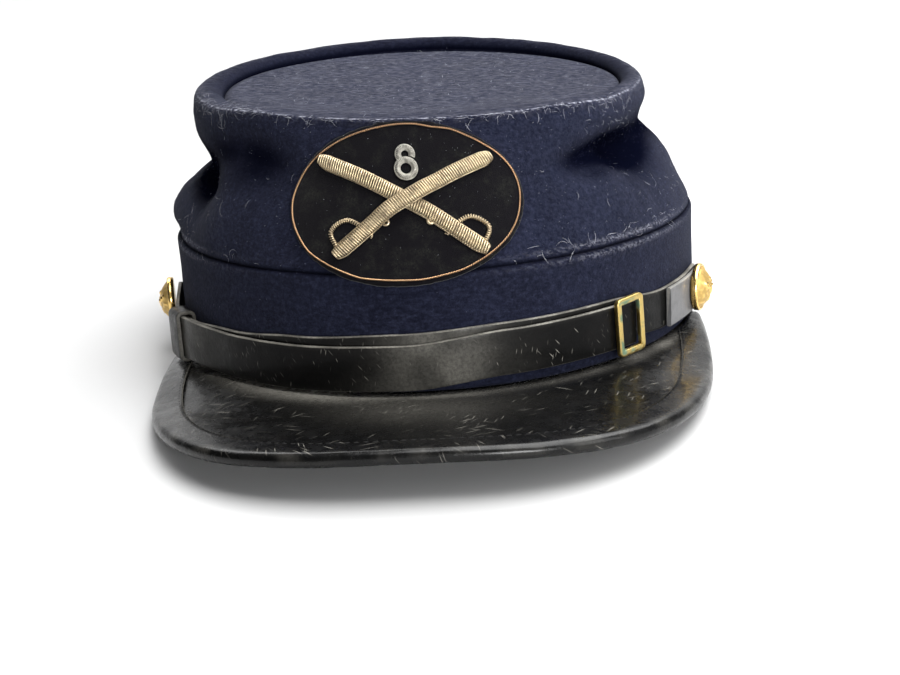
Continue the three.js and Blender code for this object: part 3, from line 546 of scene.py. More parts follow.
def cellMarks(tree, where, size, chosen, reach, **settings):
    # one mark in the middle of each cell, its strength by the cell's own chance
    cells = addNode(tree, "TexVoronoi", {"Vector": where, "Scale": 1000 / size}, **settings)
    chance = addNode(tree, "SeparateColor", {0: cells.outputs["Color"]}).outputs[0]
    return merged(tree, ranged(tree, cells.outputs["Distance"], *reach, (1.0, 0.0)),
                  ranged(tree, chance, *chosen))


def bumped(tree, shader, height, depth, strength=1.0, under=None):
    settings = {"Height": height, "Distance": depth / 1000, "Strength": strength}
    if under is not None:
        settings["Normal"] = under
    normal = addNode(tree, "Bump", settings).outputs[0]
    tree.links.new(normal, shader.inputs["Normal"])
    return normal


def clothLook():
    # fulled wool broadcloth: dull navy with a felted nap, rubbed pale on its edges, with painted
    # shade in near-black where "deep" says so: in folds, along the seam and in the rolled rim
    look, tree, shader, where = newLook("wool broadcloth")
    brushed = addNode(tree, "Mapping", {"Vector": where, "Scale": (0.3, 1, 1)}).outputs[0]
    deep = field(tree, "deep")
    nap = merged(tree, patches(tree, where, 0.6, 6, 0.75, 0.42, 0.72),
                 patches(tree, brushed, 0.9, 5, 0.7, 0.4, 0.7), "ADD")
    specks = cellMarks(tree, where, 2.4, (0.62, 0.9), (0.035, 0.075))
    rubbed = merged(tree, field(tree, "wear"), patches(tree, brushed, 0.8, 6, 0.75, 0.46, 0.62))
    base = linear(crown["clothDarkHex"])
    for share, colour in (
            (patches(tree, where, 14, 4, 0.55, 0.35, 0.68), "clothHex"),
            (merged(tree, nap, 0.62), "napHex"),
            (patches(tree, where, 1.3, 3, 0.6, 0.36, 0.64, (0.0, 0.6)), "clothDarkHex"),
            (deep, "foldShadeHex"), (merged(tree, specks, 0.5), "lintHex"), (rubbed, "wearHex")):
        base = mixed(tree, share, base, linear(crown[colour]))
    # no sheen or gloss where the shade is painted
    gleam = ranged(tree, deep, 0, 1, (0.06, 0.0))
    plug(tree, shader, {"Base Color": base, "Roughness": 0.95, "Specular IOR Level": gleam,
                        "Sheen Weight": gleam, "Sheen Roughness": 0.5,
                        "Sheen Tint": linear(crown["sheenHex"])})
    felt = bumped(tree, shader, grain(tree, where, 2.6, 5, 0.65), 0.5, 0.55)
    bumped(tree, shader, grain(tree, where, 0.5, 6, 0.75), 0.26, 0.9, felt)
    return look


def scratches(tree, flat, turn, size, long):
    # short thin strokes, one to a stretched cell, gathered in patches; size is a cell's width in mm
    turned = addNode(tree, "Mapping", {"Vector": flat, "Rotation": (0, 0, math.radians(turn))})
    drawn = addNode(tree, "Mapping", {"Vector": turned.outputs[0], "Scale": (1 / long, 1, 1)})
    strokes = cellMarks(tree, drawn.outputs[0], size, (0.25, 1.0), (0.02, 0.08),
                        voronoi_dimensions="2D")
    return merged(tree, strokes, patches(tree, flat, 11 + 3 * size, 3, 0.6, 0.44, 0.6))


def leatherLook(name, leatherHex, shine, gloss, scuffed, long, headings):
    # blackened leather: glossy, finely grained, with clusters of pale scratches and rubbed edges, and
    # pale patches of painted highlight on the peak and strap
    look, tree, shader, where = newLook(name)
    flat = field(tree, "flat", "Vector")
    lines = None
    for turn, size in headings:
        other = scratches(tree, flat, turn, size, long)
        lines = other if lines is None else merged(tree, lines, other, "MAXIMUM")
    lines = merged(tree, lines, scuffed)
    # dusty holds real dust and rubbed edges, and the painted highlight patches of the peak and strap
    dusty = merged(tree, patches(tree, where, 0.9, 6, 0.75, 0.36, 0.6, (0.5, 1.0)),
                   field(tree, "wear"))
    base = mixed(tree, patches(tree, where, 6, 5, 0.55, 0.45, 0.75, (0.0, 0.5)),
                 linear(leatherHex), linear(peak["grainHex"]))
    pale = merged(tree, merged(tree, lines, dusty, "MAXIMUM"), 0.85)
    plug(tree, shader, {"Base Color": mixed(tree, pale, base, linear(peak["scuffAndHighlightHex"])),
                        "Roughness": patches(tree, where, 4, 6, 0.7, 0.3, 0.75,
                                             (gloss, gloss + 0.25)),
                        "Specular IOR Level": shine, "Coat Weight": 1.3 * shine,
                        "Coat Roughness": 0.12})
    pebbles = bumped(tree, shader, grain(tree, where, 0.7, 5, 0.65), 0.12, 0.55)
    dents = bumped(tree, shader, grain(tree, where, 5, 3, 0.5), 0.6, 0.4, pebbles)
    bumped(tree, shader, lines, -0.04, 0.5, dents)
    return look


def metalLook(name, metalHex, darkHex, size, low, high, roughness):
    # metal with darker tarnish in patches of a real size, and darker where "deep" says so: verdigris
    # on the buckle's bars, the buttons' field between the raised forms, and painted shade on the
    # twisted border wire
    look, tree, shader, where = newLook(name)
    tarnishAndShade = merged(tree, patches(tree, where, size, 6, 0.7, low, high), field(tree, "deep"),
                     "MAXIMUM")
    plug(tree, shader, {"Base Color": mixed(tree, tarnishAndShade, linear(metalHex), linear(darkHex)),
                        "Metallic": ranged(tree, tarnishAndShade, 0, 1, (1.0, 0.55)),
                        "Roughness": ranged(tree, tarnishAndShade, 0, 1, (roughness, 0.7))})
    bumped(tree, shader, grain(tree, where, 0.35, 4), 0.04, 0.5)
    return look


def plainLook(name, colourHex, roughness=0.9):
    # one dull colour, for fibres, thread and paper too fine or too plain to show a pattern
    look, tree, shader, _ = newLook(name)
    plug(tree, shader, {"Base Color": linear(colourHex), "Roughness": roughness})
    return look


def velvetLook():
    # cotton velvet: black from the front, its pile catching light at the edges and in dusty patches
    look, tree, shader, where = newLook("cotton velvet")
    dust = merged(tree, patches(tree, where, 6, 6, 0.7, 0.48, 0.72, (0.0, 0.6)),
                  patches(tree, where, 0.5, 5, 0.7, 0.4, 0.75))
    plug(tree, shader, {"Base Color": mixed(tree, dust, linear(badge["velvetHex"]),
                                            linear(badge["dustHex"])),
                        "Roughness": 1.0, "Specular IOR Level": 0.1, "Sheen Weight": 0.12,
                        "Sheen Roughness": 0.4})
    bumped(tree, shader, grain(tree, where, 0.3, 5, 0.7), 0.2, 0.8)
    return look


cloth = clothLook()
peakLeather = leatherLook("waxed peak leather", peak["leatherHex"], 0.14, 0.16, 1.0, 16,
                          ((-60, 1.5), (-35, 1.9), (-75, 1.7), (25, 2.4)))
strapLeather = leatherLook("strap leather", strap["leatherHex"], 0.05, 0.26, 0.9, 8,
                           ((70, 1.2), (100, 1.5), (50, 1.8)))
tabLeather = leatherLook("rubbed strap leather", strap["tabHex"], 0.16, 0.4, 0.6, 8,
                         ((75, 1.5), (20, 1.8)))
thread = plainLook("waxed thread", peak["threadHex"], 0.95)
brass = metalLook("tarnished brass", buckle["brassHex"], buckle["tarnishHex"], 2.5, 0.55, 0.8, 0.34)
gilt = metalLook("worn gilt", button["giltHex"], button["grimeHex"], 1.5, 0.58, 0.8, 0.24)
velvet = velvetLook()
goldWire = metalLook("twisted gilt wire", badge["borderHex"], badge["borderTarnishAndShadeHex"], 1.2, 0.55,
                     0.85, 0.36)
bullion = metalLook("silver-gilt bullion", sabre["bullionHex"], sabre["darkHex"], 2.2, 0.47, 0.72,
                    0.36)
silver = metalLook("dull silver purl", numeral["silverHex"], numeral["darkHex"], 1.5, 0.45, 0.75,
                   0.42)
hairLook = plainLook("lint", lint["hairHex"], 1.0)
fuzzLook = plainLook("wool nap", lint["fuzzHex"], 1.0)
print("materials ready")


# Crown

def seamRub(turn):
    return bell(turn - 46, 14) + bell(turn + 70, 14)


def clothPiece():
    angle = around(300, 360)[:, None]
    turn = turnBetween(angle, 0)
    seam, radius = crown["seamShare"], crown["rimRadius"]
    heights = np.concatenate([[0, 0.006, 0.016, seam], np.linspace(0.05, 0.98, 44)])[None, :]
    rolls = np.concatenate([np.linspace(0, 30, 4), np.linspace(35, 60, 8),
                            np.linspace(70, 180, 12)])[None, :]
    outer = crownPoint(angle, heights)
    across, up = fromBadge(turn, heights)
    clear = smooth(1.0, 1.35, np.hypot(across / (badge["width"] / 2), up / (badge["height"] / 2)))
    settle = smooth(0, 0.08, heights) * (1 - smooth(0.85, 0.98, heights))
    ripple = crown["ripple"] * (waves(outer, 9) + 1.2 * waves(outer, 24, 5)) * settle
    pucker = waves(outer * [1, 1, 0.25], 3, 2) * (1 - smooth(seam, 0.16, heights))
    lift = (ripple + crown["seamPucker"] * pucker) * clear
    lift = lift - crown["seamRoll"] * rollOff(heights / seam)
    outer = outer + crownNormal(angle, heights) * lift[..., None]
    rim = rimPoint(angle, rolls, radius)
    rimOut = unit(rim - rimPoint(angle, rolls, radius - 1))
    rimWave = waves(rim, 7, 3) * smooth(0, 25, rolls) * (1 - smooth(150, 180, rolls))
    rim = rim + rimOut * crown["rimWave"] * rimWave[..., None]
    # the hem hangs from the rolled rim down to the sunk top
    hem = crown["tipSink"] + crown["tipWall"] - radius
    lifted = (rimValue(angle, 1) - rimValue(angle, 2)) * crown["tipHeight"] + hem
    hemRows = lifted * np.linspace(0.34, 1, 3)[None, :]
    hemOut, hemIn = (rimPoint(angle, np.full((1, 3), 180.0), r, hemRows)
                     for r in (radius, radius - crown["wall"]))
    rimIn = rimPoint(angle, rolls[:, ::3], radius - crown["wall"])
    innerHeights = np.concatenate([[0], heights[0, 6::3]])[None, :]
    inner = crownPoint(angle, innerHeights) - crownNormal(angle, innerHeights) * crown["wall"]
    loops = np.concatenate([outer, rim, hemOut, hemIn[:, ::-1], rimIn[:, ::-1], inner[:, ::-1]], 1)
    wall, rolled = slice(0, heights.size), slice(heights.size, heights.size + rolls.size)
    front = smooth(-0.3, 0.9, np.cos(np.radians(turn)))
    depth = foldDepth(angle, heights)
    wear, deep = np.zeros((2, *loops.shape[:2]))
    wear[:, wall] = 0.04 * smooth(0.5, 2.5, depth) \
        + 0.4 * bell(heights - 0.045, 0.011) * seamRub(turn)
    wear[:, rolled] = 0.9 * front * bell(rolls - 47, 3.6) + 0.16 * bell(rolls - 60, 30)
    # painted shade: near-black in the folds, a dark line at the crown's foot by the seam, and on the
    # rim roll's top away from the front and on its inside
    paintedFoldShade = np.maximum(smooth(0.6, 4.5, -depth), shadeAt(turn, heights))
    deep[:, wall] = np.maximum(paintedFoldShade, 0.8 * bell(heights, 0.012))
    deep[:, rolled] = 0.45 * (1 - front) * smooth(40, 90, rolls) + 0.5 * smooth(145, 175, rolls)
    return ringSolid(loops), {"wear": wear, "deep": np.clip(deep, 0, 1)}


addPiece("crown_cloth", *clothPiece(), cloth, "cloth", ["crown_side"])


def tipPiece():
    angle, share = around(240, 360)[:, None], np.linspace(0, 1, 30)[None, 1:]
    flat = tipPlace(angle, share)
    sag = crown["tipWave"] * waves(flat, 22, 8) * (1 - share ** 6)
    sag = sag - crown["tipSag"] * (1 - share ** 2)
    rounded = 0.5 * smooth(0.985, 1, share) ** 2 * smooth(0.02, 0.04, 0.05 - rimValue(angle, 2))
    top = flat + stack(0, 0, sag - rounded)
    under = flat + stack(0, 0, 0.4 * sag - crown["tipWall"])
    loops = np.concatenate([top, under[:, ::-3]], 1)
    middles = stack(0, 0, -crown["tipSink"] - np.array([0.5, crown["tipWall"] + 0.2]))
    solid = fanSolid(moved(tipPose, loops), *moved(tipPose, middles))
    return solid, {"wear": np.full(len(solid[0]), 0.15), "deep": np.zeros(len(solid[0]))}


addPiece("crown_top_cloth", *tipPiece(), cloth, "cloth", ["crown_tip"])


def bandPiece():
    angle, edge = around(320, 360)[:, None], band["edgeShare"]
    share = np.concatenate([np.linspace(0, edge, 4), np.linspace(0.07, 0.93, 14),
                            np.linspace(1 - edge, 1, 4)])[None, :]
    low = bandBottom(angle)
    height = low + (band["height"] - low) * share
    wave = waves(bandPoint(angle, 0 * height, height), 16, 4) * smooth(0.4, 0.75, share)
    rounded = rollOff(np.minimum(share, 1 - share) / edge)
    outer = bandPoint(angle, band["wave"] * wave - rounded, height)
    inner = bandPoint(angle, 0 * height - band["wall"], height)[:, ::-3]
    loops = np.concatenate([outer, inner], 1)
    wear, deep = np.zeros((2, *loops.shape[:2]))
    wear[:, :share.size] = 0.3 * bell(share - 0.965, 0.015) * seamRub(turnBetween(angle, 0))
    # painted shade: a dark line along the band's top edge, under the crown's lower edge
    deep[:, :share.size] = 0.8 * bell(share - 1, 0.012)
    return ringSolid(loops), {"wear": wear, "deep": deep}


addPiece("band_cloth", *bandPiece(), cloth, "cloth", ["band"])
print("cloth made")


# Peak

def peakPiece():
    turn = np.linspace(-1, 1, 240)
    hornAngle = math.degrees(math.acos(2 * peak["hornAhead"] / band["length"]))
    inside, outside = (bandPoint(turn * hornAngle, 0 * turn - wall, 0 * turn)[:, :2]
                       for wall in (band["wall"], 0))
    edge = peakEdge(turn * peak["hornShare"])
    share = np.linspace(0, 1, 36)[None, :, None] ** 0.85
    across = outside[:, None] + (edge - outside)[:, None] * share
    places = np.concatenate([inside[:, None], across], 1)
    flat = stack(places[..., 0], places[..., 1], 0)
    ahead = aheadOfBand(places)
    middle = peakMiddle(places) + peak["wave"] * waves(flat, 15, 1) * smooth(2, 12, ahead)
    top, under = (flat + stack(0, 0, middle + side * peak["wall"] / 2) for side in (1, -1))
    wear = 0.6 * bell(ahead - 2, 1.8) * (0.4 + 0.6 * smooth(-0.2, 0.5, waves(flat, 12, 6)))
    wear += 0.7 * bell(ahead - 4, 3) * bell(places[..., 0] + 36, 14)
    # a pale patch in the peak's middle is painted highlight
    wear += 0.16 * bell(ahead - 12, 8) * bell(places[..., 0] + 2, 16)
    return barSolid(np.concatenate([top, under[:, ::-1]], 1)), {
        "wear": np.concatenate([wear, 0 * wear], 1),
        "flat": np.concatenate([flat, flat[:, ::-1]], 1) * 0.001}


addPiece("peak_leather", *peakPiece(), peakLeather, "peak_leather", ["peak"])


def peakRim(share):
    along = unit(peakEdge(share + 0.002) - peakEdge(share - 0.002))
    return peakEdge(share), sideways(along)


def bindingReach(edge):
    return np.minimum(peak["bindingTop"], 0.9 * aheadOfBand(edge) - gap)


def bindingOutline(edge):
    # out and up from the peak's edge: over the peak, round its edge, under it and back inside
    inside = peak["wall"] / 2 + gap
    outside = inside + peak["bindingWall"]
    top = bindingReach(edge)[:, None]
    shares = np.array([1, 0.985, 0.95, 0.8, 0.6, 0.4, 0.2])
    turn = np.radians(np.linspace(90, -90, 15))
    rest = np.concatenate([gap + outside * np.cos(turn),
                           peak["bindingUnder"] * np.array([-0.5, -1, -1]), [gap, gap]])
    x = np.concatenate([-top * shares, np.broadcast_to(rest, (len(top), rest.size)), -top], 1)
    y = np.concatenate([outside - peak["bindingLip"] * rollOff((1 - shares) / 0.05),
                        outside * np.sin(turn),
                        [-outside, -outside, -inside, -inside, inside, inside]])
    return x, np.broadcast_to(y, x.shape)


def bindingPiece():
    edge, outward = peakRim(np.linspace(-1, 1, 300) * peak["hornShare"])
    x, y = bindingOutline(edge)
    places = edge[:, None] + outward[:, None] * x[..., None]
    loops = stack(places[..., 0], places[..., 1], peakMiddle(places) + y)
    loops = loops + stack(0, 0, peak["bindingWave"] * waves(loops, 8, 2) * (x > -1))
    points = loops.reshape(-1, 3)
    wear = 0.1 * bell(x - 1.2, 0.9) * (y > -0.5) * smooth(-0.1, 0.4, waves(loops, 6, 9))
    wear[:, :2] = 0.55
    girth = np.cumsum(np.hypot(*(np.diff(v, axis=1, prepend=v[:, :1]) for v in (x, y))), 1)
    return (points, facingOut(points, gridFaces(*x.shape, False, True))), {
        "wear": wear, "flat": stack(arcLength(edge)[:, None], girth, 0) * 0.001}


addPiece("peak_binding_leather", *bindingPiece(), peakLeather, "peak_leather", ["peak_binding"])


def stitchRow():
    edge, outward = peakRim(np.linspace(-0.95, 0.95, 2000))
    line = edge - outward * (bindingReach(edge) - peak["stitchInset"])[:, None]
    lift = peak["wall"] / 2 + gap + peak["bindingWall"] + 0.02
    line = stack(line[:, 0], line[:, 1], peakMiddle(line) + lift)
    arc = arcLength(line)
    bow = np.sin(np.linspace(0, np.pi, 6))
    parts = []
    for start in np.arange(2, arc[-1] - 3, peak["stitchPitch"]):
        s = np.linspace(start, start + peak["stitchShare"] * peak["stitchPitch"], 6)
        path = np.stack([np.interp(s, arc, line[:, k]) for k in range(3)], -1)
        path[:, 2] += 0.1 * bow - 0.12
        parts.append(tube(path, np.array([0, 0, 1.0]), 0.06 + 0.07 * np.sqrt(bow), 5))
    return joinSolids(parts)


addPiece("peak_stitches", stitchRow(), {}, thread)
print("peak made")


# Chin strap

def strapPiece(start, end, reach, layer, width, seed):
    angle = np.linspace(start, end, int((end - start) * 3.2))[:, None]
    low = strapLow(angle, layer)
    # the strap's section, out and up, with rounded corners and a slightly full face
    corner, wall = strap["corner"], strap["wall"]
    section = []
    for cx, cy, first in ((corner, corner, 180), (wall - corner, corner, 270),
                          (wall - corner, width - corner, 0), (corner, width - corner, 90)):
        for turn in np.radians(np.linspace(first, first + 90, 5)):
            section.append((cx + corner * math.cos(turn), cy + corner * math.sin(turn)))
        if first == 270:
            for s in np.linspace(0.08, 0.92, 12):
                section.append((wall + strap["belly"] * math.sin(math.pi * s),
                                corner + s * (width - 2 * corner)))
    out, up = np.array(section).T
    spine = bandPoint(angle, 0 * angle, low)
    wave = strap["wave"] * waves(spine, 11, seed)
    loops = bandPoint(angle, reach(angle) + out + np.maximum(wave, -0.05), low + up)
    rows, columns = loops.shape[:2]
    points = loops.reshape(-1, 3)
    worn = np.maximum(bell(up - width + 0.06, 0.13), 0.3 * bell(up - 0.06, 0.13)) * (out > 0.3)
    worn = worn * (0.55 + 0.45 * smooth(-0.3, 0.3, waves(loops, 6, 2)))
    # pale patches at the strap's front middle and by the keeper are painted highlight, mixed in with
    # the worn edges
    paintedHighlight = 0.36 * bell(angle - 3, 7) + 0.22 * bell(angle + 57, 7)
    worn = np.maximum(worn, paintedHighlight * (0.4 + 0.6 * smooth(-0.5, 0.5, waves(loops, 9, 4))))
    k = np.arange(1, columns - 1)
    near = np.stack([0 * k, k, k + 1], -1)
    caps = np.concatenate([near, (rows - 1) * columns + near[:, [0, 2, 1]]])
    return (points, facingOut(points, gridFaces(rows, columns, False, True)), caps), {
        "wear": worn, "flat": stack(arcLength(spine[:, 0])[:, None], up, out) * 0.001}


for name, look, *layer in (
        ("strap_rear", strapLeather, strap["leftEnd"], strap["rightEnd"], rearReach, 2,
         strap["rearWidth"], 1),
        ("strap_front", strapLeather, strap["frontStart"], strap["frontEnd"], frontReach, 1,
         strap["frontWidth"], 5),
        ("strap_tab", tabLeather, strap["tabStart"], strap["rightEnd"], frontReach, 2,
         strap["tabWidth"], 9)):
    addPiece(name + "_leather", *strapPiece(*layer), look, "strap_leather", [name], 50)


def keeperPiece():
    middle, corner = keeper["angle"], keeper["corner"]
    lows = [strapLow(middle, layer) for layer in (1, 2)]
    low = min(lows) - gap
    high = max(lows[0] + strap["frontWidth"], lows[1] + strap["rearWidth"]) + gap
    sides = np.concatenate([[-1, -0.97], np.linspace(-0.9, 0.9, 9), [0.97, 1]])
    lip = keeper["lip"] * rollOff((1 - np.abs(sides)) / 0.1)
    angle = middle + sides * keeperHalfAngle
    loops = []
    for index in range(4):
        reach = outerReach(middle) - corner if index in (0, 3) else rearReach(middle) - gap + corner
        height = high - corner if index < 2 else low + corner
        up = height + bandBottom(angle) - bandBottom(middle)
        for step in range(7):
            turn = math.radians((index + step / 6) * 90)
            a, b = (bandPoint(angle, reach + r * math.cos(turn), up + r * math.sin(turn))
                    for r in (corner + 0.5 * lip, corner + keeper["wall"] - lip))
            loops.append(np.concatenate([a, b[::-1]]))
    loops = np.array(loops)
    edge = np.concatenate([0 * sides + 1, np.abs(sides[::-1]) > 0.93])
    return ringSolid(loops), {"wear": np.tile(keeper["wear"] * edge, len(loops)),
                              "flat": stack(loops[..., 1], loops[..., 2], 0) * 0.001}


addPiece("strap_keeper_leather", *keeperPiece(), strapLeather, "strap_leather", ["strap_keeper"], 60)
print("strap made")


# Metal fittings

def bandPose(angle, reach, height):
    outward, up = bandOutward(angle), np.array([0, 0, 1.0])
    pose = np.eye(4)
    pose[:3] = np.stack([np.cross(up, outward), up, outward, bandPoint(angle, reach, height)], -1)
    return pose


def bucklePiece():
    corner = buckle["corner"]
    half = np.array([buckle["width"], buckle["height"]]) / 2 - buckle["bar"] / 2 - corner
    bends = []
    for sx, sy, first in ((1, 1, 0), (-1, 1, 90), (-1, -1, 180), (1, -1, 270)):
        for turn in np.radians(np.linspace(first, first + 90, 6)):
            bend = corner * np.array([math.cos(turn), math.sin(turn)])
            bends.append(np.array([sx, sy]) * half + bend)
    path = []
    for a, b in zip(bends, bends[1:] + bends[:1]):
        steps = max(1, int(np.linalg.norm(b - a) / 0.7))
        path += [a + (b - a) * k / steps for k in range(steps)]
    path = np.array(path)
    along = alongLoop(path)
    outward = sideways(along)
    # the bar's section is a square with soft corners
    t = around(16)
    c, s = (np.sign(v) * np.abs(v) ** buckle["squareness"] for v in (np.cos(t), np.sin(t)))
    places = path[:, None] + outward[:, None] * (buckle["bar"] / 2 * c)[:, None]
    loops = stack(places[..., 0], places[..., 1], buckle["wall"] / 2 * (1 + s))
    loops += buckle["dents"] * waves(loops, 1.6)[..., None] * [1, 1, 0.4]
    pose = bandPose(buckle["angle"], outerReach(buckle["angle"]), buckle["rise"])
    pose = pose @ np.array(Matrix.Rotation(math.radians(buckle["turn"]), 4, "Z"))
    # verdigris lies on the bars' inner sides, and wider there on all but the right bar
    inward = np.cos(t)[None, :]
    spread = (inward < -0.4) | ((inward < 0.1) & (path[:, :1] < 0.3 * buckle["width"]))
    green = 0.85 * spread * smooth(-0.15, 0.3, waves(loops, 2.5, 3))
    return ringSolid(moved(pose, loops)), {"deep": green}


addPiece("strap_buckle_brass", *bucklePiece(), brass, "buckle_brass", ["strap_buckle"])


def eagleRise(across, up):
    rise = np.zeros(np.broadcast(across, up).shape)
    for cx, cy, long, wide, turn, high in eagleForms:
        r = math.radians(turn)
        x, y = across - cx, up - cy
        a = (x * math.cos(r) + y * math.sin(r)) / long
        b = (y * math.cos(r) - x * math.sin(r)) / wide
        # only the two wings are feathered
        feathers = 1 + 0.45 * np.sin(34 * (a * long) + 9 * b * wide) * (abs(turn) == 38)
        rise = np.maximum(rise, high * (1 - smooth(0.4, 1.1, np.hypot(a, b))) * feathers)
    return rise * button["relief"]


def buttonPiece(angle, rise, layer):
    radius = button["diameter"] / 2
    dome = 1 - 2 * button["rim"] / button["diameter"]
    t = around(96)[:, None]
    c, s = np.cos(t), np.sin(t)
    shares = np.concatenate([[dome, dome - 0.015], np.linspace(dome - 0.03, 0.03, 26)])[None, :]
    relief = eagleRise(shares * c, shares * s)
    cast = stack(radius * shares * c, radius * shares * s, 0)
    relief = relief + button["grain"] * waves(cast, 0.9, 4) * (1 - smooth(0.78, 0.88, shares))
    beads = np.maximum(0, np.cos(button["beads"] * t)) * bell(shares - dome * 0.93, 0.03)
    high = button["edge"] + button["dome"] * (1 - (shares / dome) ** button["full"])
    high = high + relief + button["bead"] * beads
    rimTurns = np.radians(np.linspace(0, 165, 9))
    rimHalf = radius * (1 - dome) / 2
    out = np.concatenate([radius * np.array([0.5, 0.98]),
                          radius * (1 + dome) / 2 + rimHalf * np.cos(rimTurns), radius * shares[0]])
    up = np.concatenate([[0, 0], button["edge"] - 0.5 + (rimHalf + 0.35) * np.sin(rimTurns)])
    up = np.concatenate([np.broadcast_to(up, (t.size, up.size)), high], 1)
    halfAngle = math.degrees(button["diameter"] / band["width"])
    seats = angle + np.linspace(-1, 1, 21) * halfAngle
    reach = np.max((bandPoint(seats, layer(seats), 0 * seats) - bandPoint(angle, 0, 0))
                   @ bandOutward(angle))
    pose = bandPose(angle, reach, rise * band["height"])
    middles = stack(0, 0, [0, button["edge"] + button["dome"] + float(eagleRise(0.0, 0.0))])
    deep = np.clip(1 - relief / (0.35 * button["relief"]), 0, 1) * 0.55
    deep = np.concatenate([np.zeros((t.size, out.size - shares.size)), deep], 1)
    return fanSolid(moved(pose, stack(out * c, out * s, up)), *moved(pose, middles)), {
        "deep": np.append(deep, [0, 0])}


for side, layer in (("left", frontReach), ("right", outerReach)):
    addPiece("button_" + side + "_gilt",
             *buttonPiece(button[side + "Angle"], button[side + "Rise"], layer), gilt, "button_gilt",
             ["button_" + side])
print("metal made")


# Badge

def patchPiece():
    t = around(200)[:, None]
    share = np.concatenate([np.linspace(0.04, 0.97, 26), [0.985, 0.995, 1.0, 1.0]])
    drop = np.concatenate([np.zeros(26), [0.08, 0.25, 0.6, badge["wall"]]])
    ragged = badge["ragged"] * waves(stack(np.cos(t) * 40, np.sin(t) * 40, 0), 2.2)
    x, y = ovalPlace(t, share, badge["margin"] + ragged)
    face, back = badgePoint(x, y, patchFace - drop), badgePoint(x[:, :1], y[:, :1], gap)
    return fanSolid(np.concatenate([face, back], 1), badgePoint(0.0, 0.0, patchFace)), {}


addPiece("badge_velvet", *patchPiece(), velvet, "velvet", ["badge_patch"])


def borderPiece():
    x, y = ovalPlace(np.linspace(0, 2 * np.pi, 2000), 1, 0)
    arc = arcLength(np.stack([x, y], -1))
    turns = round(arc[-1] / badge["borderPitch"])
    s = np.linspace(0, arc[-1], turns * 9, endpoint=False)
    x, y = np.interp(s, arc, x), np.interp(s, arc, y)
    drift = rng.uniform(-1, 1, 34) * np.r_[0, np.ones(32), 0]
    drift = badge["borderDrift"] * np.interp(s, np.linspace(0, arc[-1], 34), drift)
    stretch = 1 + drift / np.hypot(x, y)
    centre, out = onBadge(x * stretch, y * stretch, patchFace + badge["borderLift"])
    along = alongLoop(centre)
    side = unit(np.cross(along, out))
    parts, shade = [], []
    for strand in range(2):
        phase = 2 * np.pi * s / arc[-1] * turns + strand * np.pi
        twist = side * np.cos(phase)[:, None] + out * np.sin(phase)[:, None]
        path = centre + badge["borderTwist"] * twist
        parts.append(tube(path, out, badge["borderWire"], 6, True))
        # painted shade: each strand darker on one side of every turn of the twist
        shade.append(np.repeat(0.9 * smooth(-0.1, 0.7, np.cos(phase)), 6))
    return joinSolids(parts), {"deep": np.concatenate(shade)}


addPiece("badge_gilt_wire", *borderPiece(), goldWire, "gold_wire", ["badge_border"])


def sabrePiece(mirror, raised):
    scale = np.array([mirror * badge["width"], badge["width"]])
    thick, half = sabre["thick"], sabre["width"] / 2

    def bladeLift(x, y):
        near = 1 - smooth(sabre["crossing"], 3 * sabre["crossing"], np.hypot(x, y))
        return patchFace + 0.35 * thick + (thick + gap) * raised * near

    def hiltLift(x, y):
        return patchFace + 0.45 + 0 * x

    def taper(share):
        ends = np.minimum(share, 1 - share)
        return (half - 0.15) * (0.45 + 0.55 * np.sqrt(np.clip(ends / 0.05, 0, 1)))

    blade = np.array(sabreBlade) * scale
    parts = [bundle(blade, bladeLift, taper, thick * 0.62, sabre["coilPitch"], sabre["wire"], 12,
                    0.22, 0.05)]
    path, arc = curveThrough(blade, 160)
    along = unit(np.gradient(path, axis=0))
    across = sideways(along)
    for edge in (-1, 1):
        x, y = (path + edge * (taper(arc / arc[-1]) - 0.05)[:, None] * across).T
        parts.append(tube(*onBadge(*sabrePlace(x, y), bladeLift(x, y) - 0.1), sabre["edgeWire"], 6))
    for line, wide in ((sabreBow, sabre["bowHalf"]), (sabreBar, sabre["barHalf"])):
        parts.append(bundle(np.array(line) * scale, hiltLift, lambda share: wide + 0 * share,
                            wide * 0.85, sabre["hiltPitch"], sabre["hiltWire"], 10))
    t = around(20)
    x, y = sabrePlace(*(np.array(sabreKnob) * scale))
    x, y = x + sabre["knobRing"] * np.cos(t), y + sabre["knobRing"] * np.sin(t)
    knob = tube(*onBadge(x, y, patchFace + 0.5), sabre["knobWire"], 8, True)
    solid = joinSolids([*parts, knob])
    return solid, {"deep": np.zeros(len(solid[0]))}


for name, mirror, raised in (("sabre_upper", 1, 1), ("sabre_lower", -1, 0)):
    addPiece(name + "_bullion", *sabrePiece(mirror, raised), bullion, "bullion", [name])


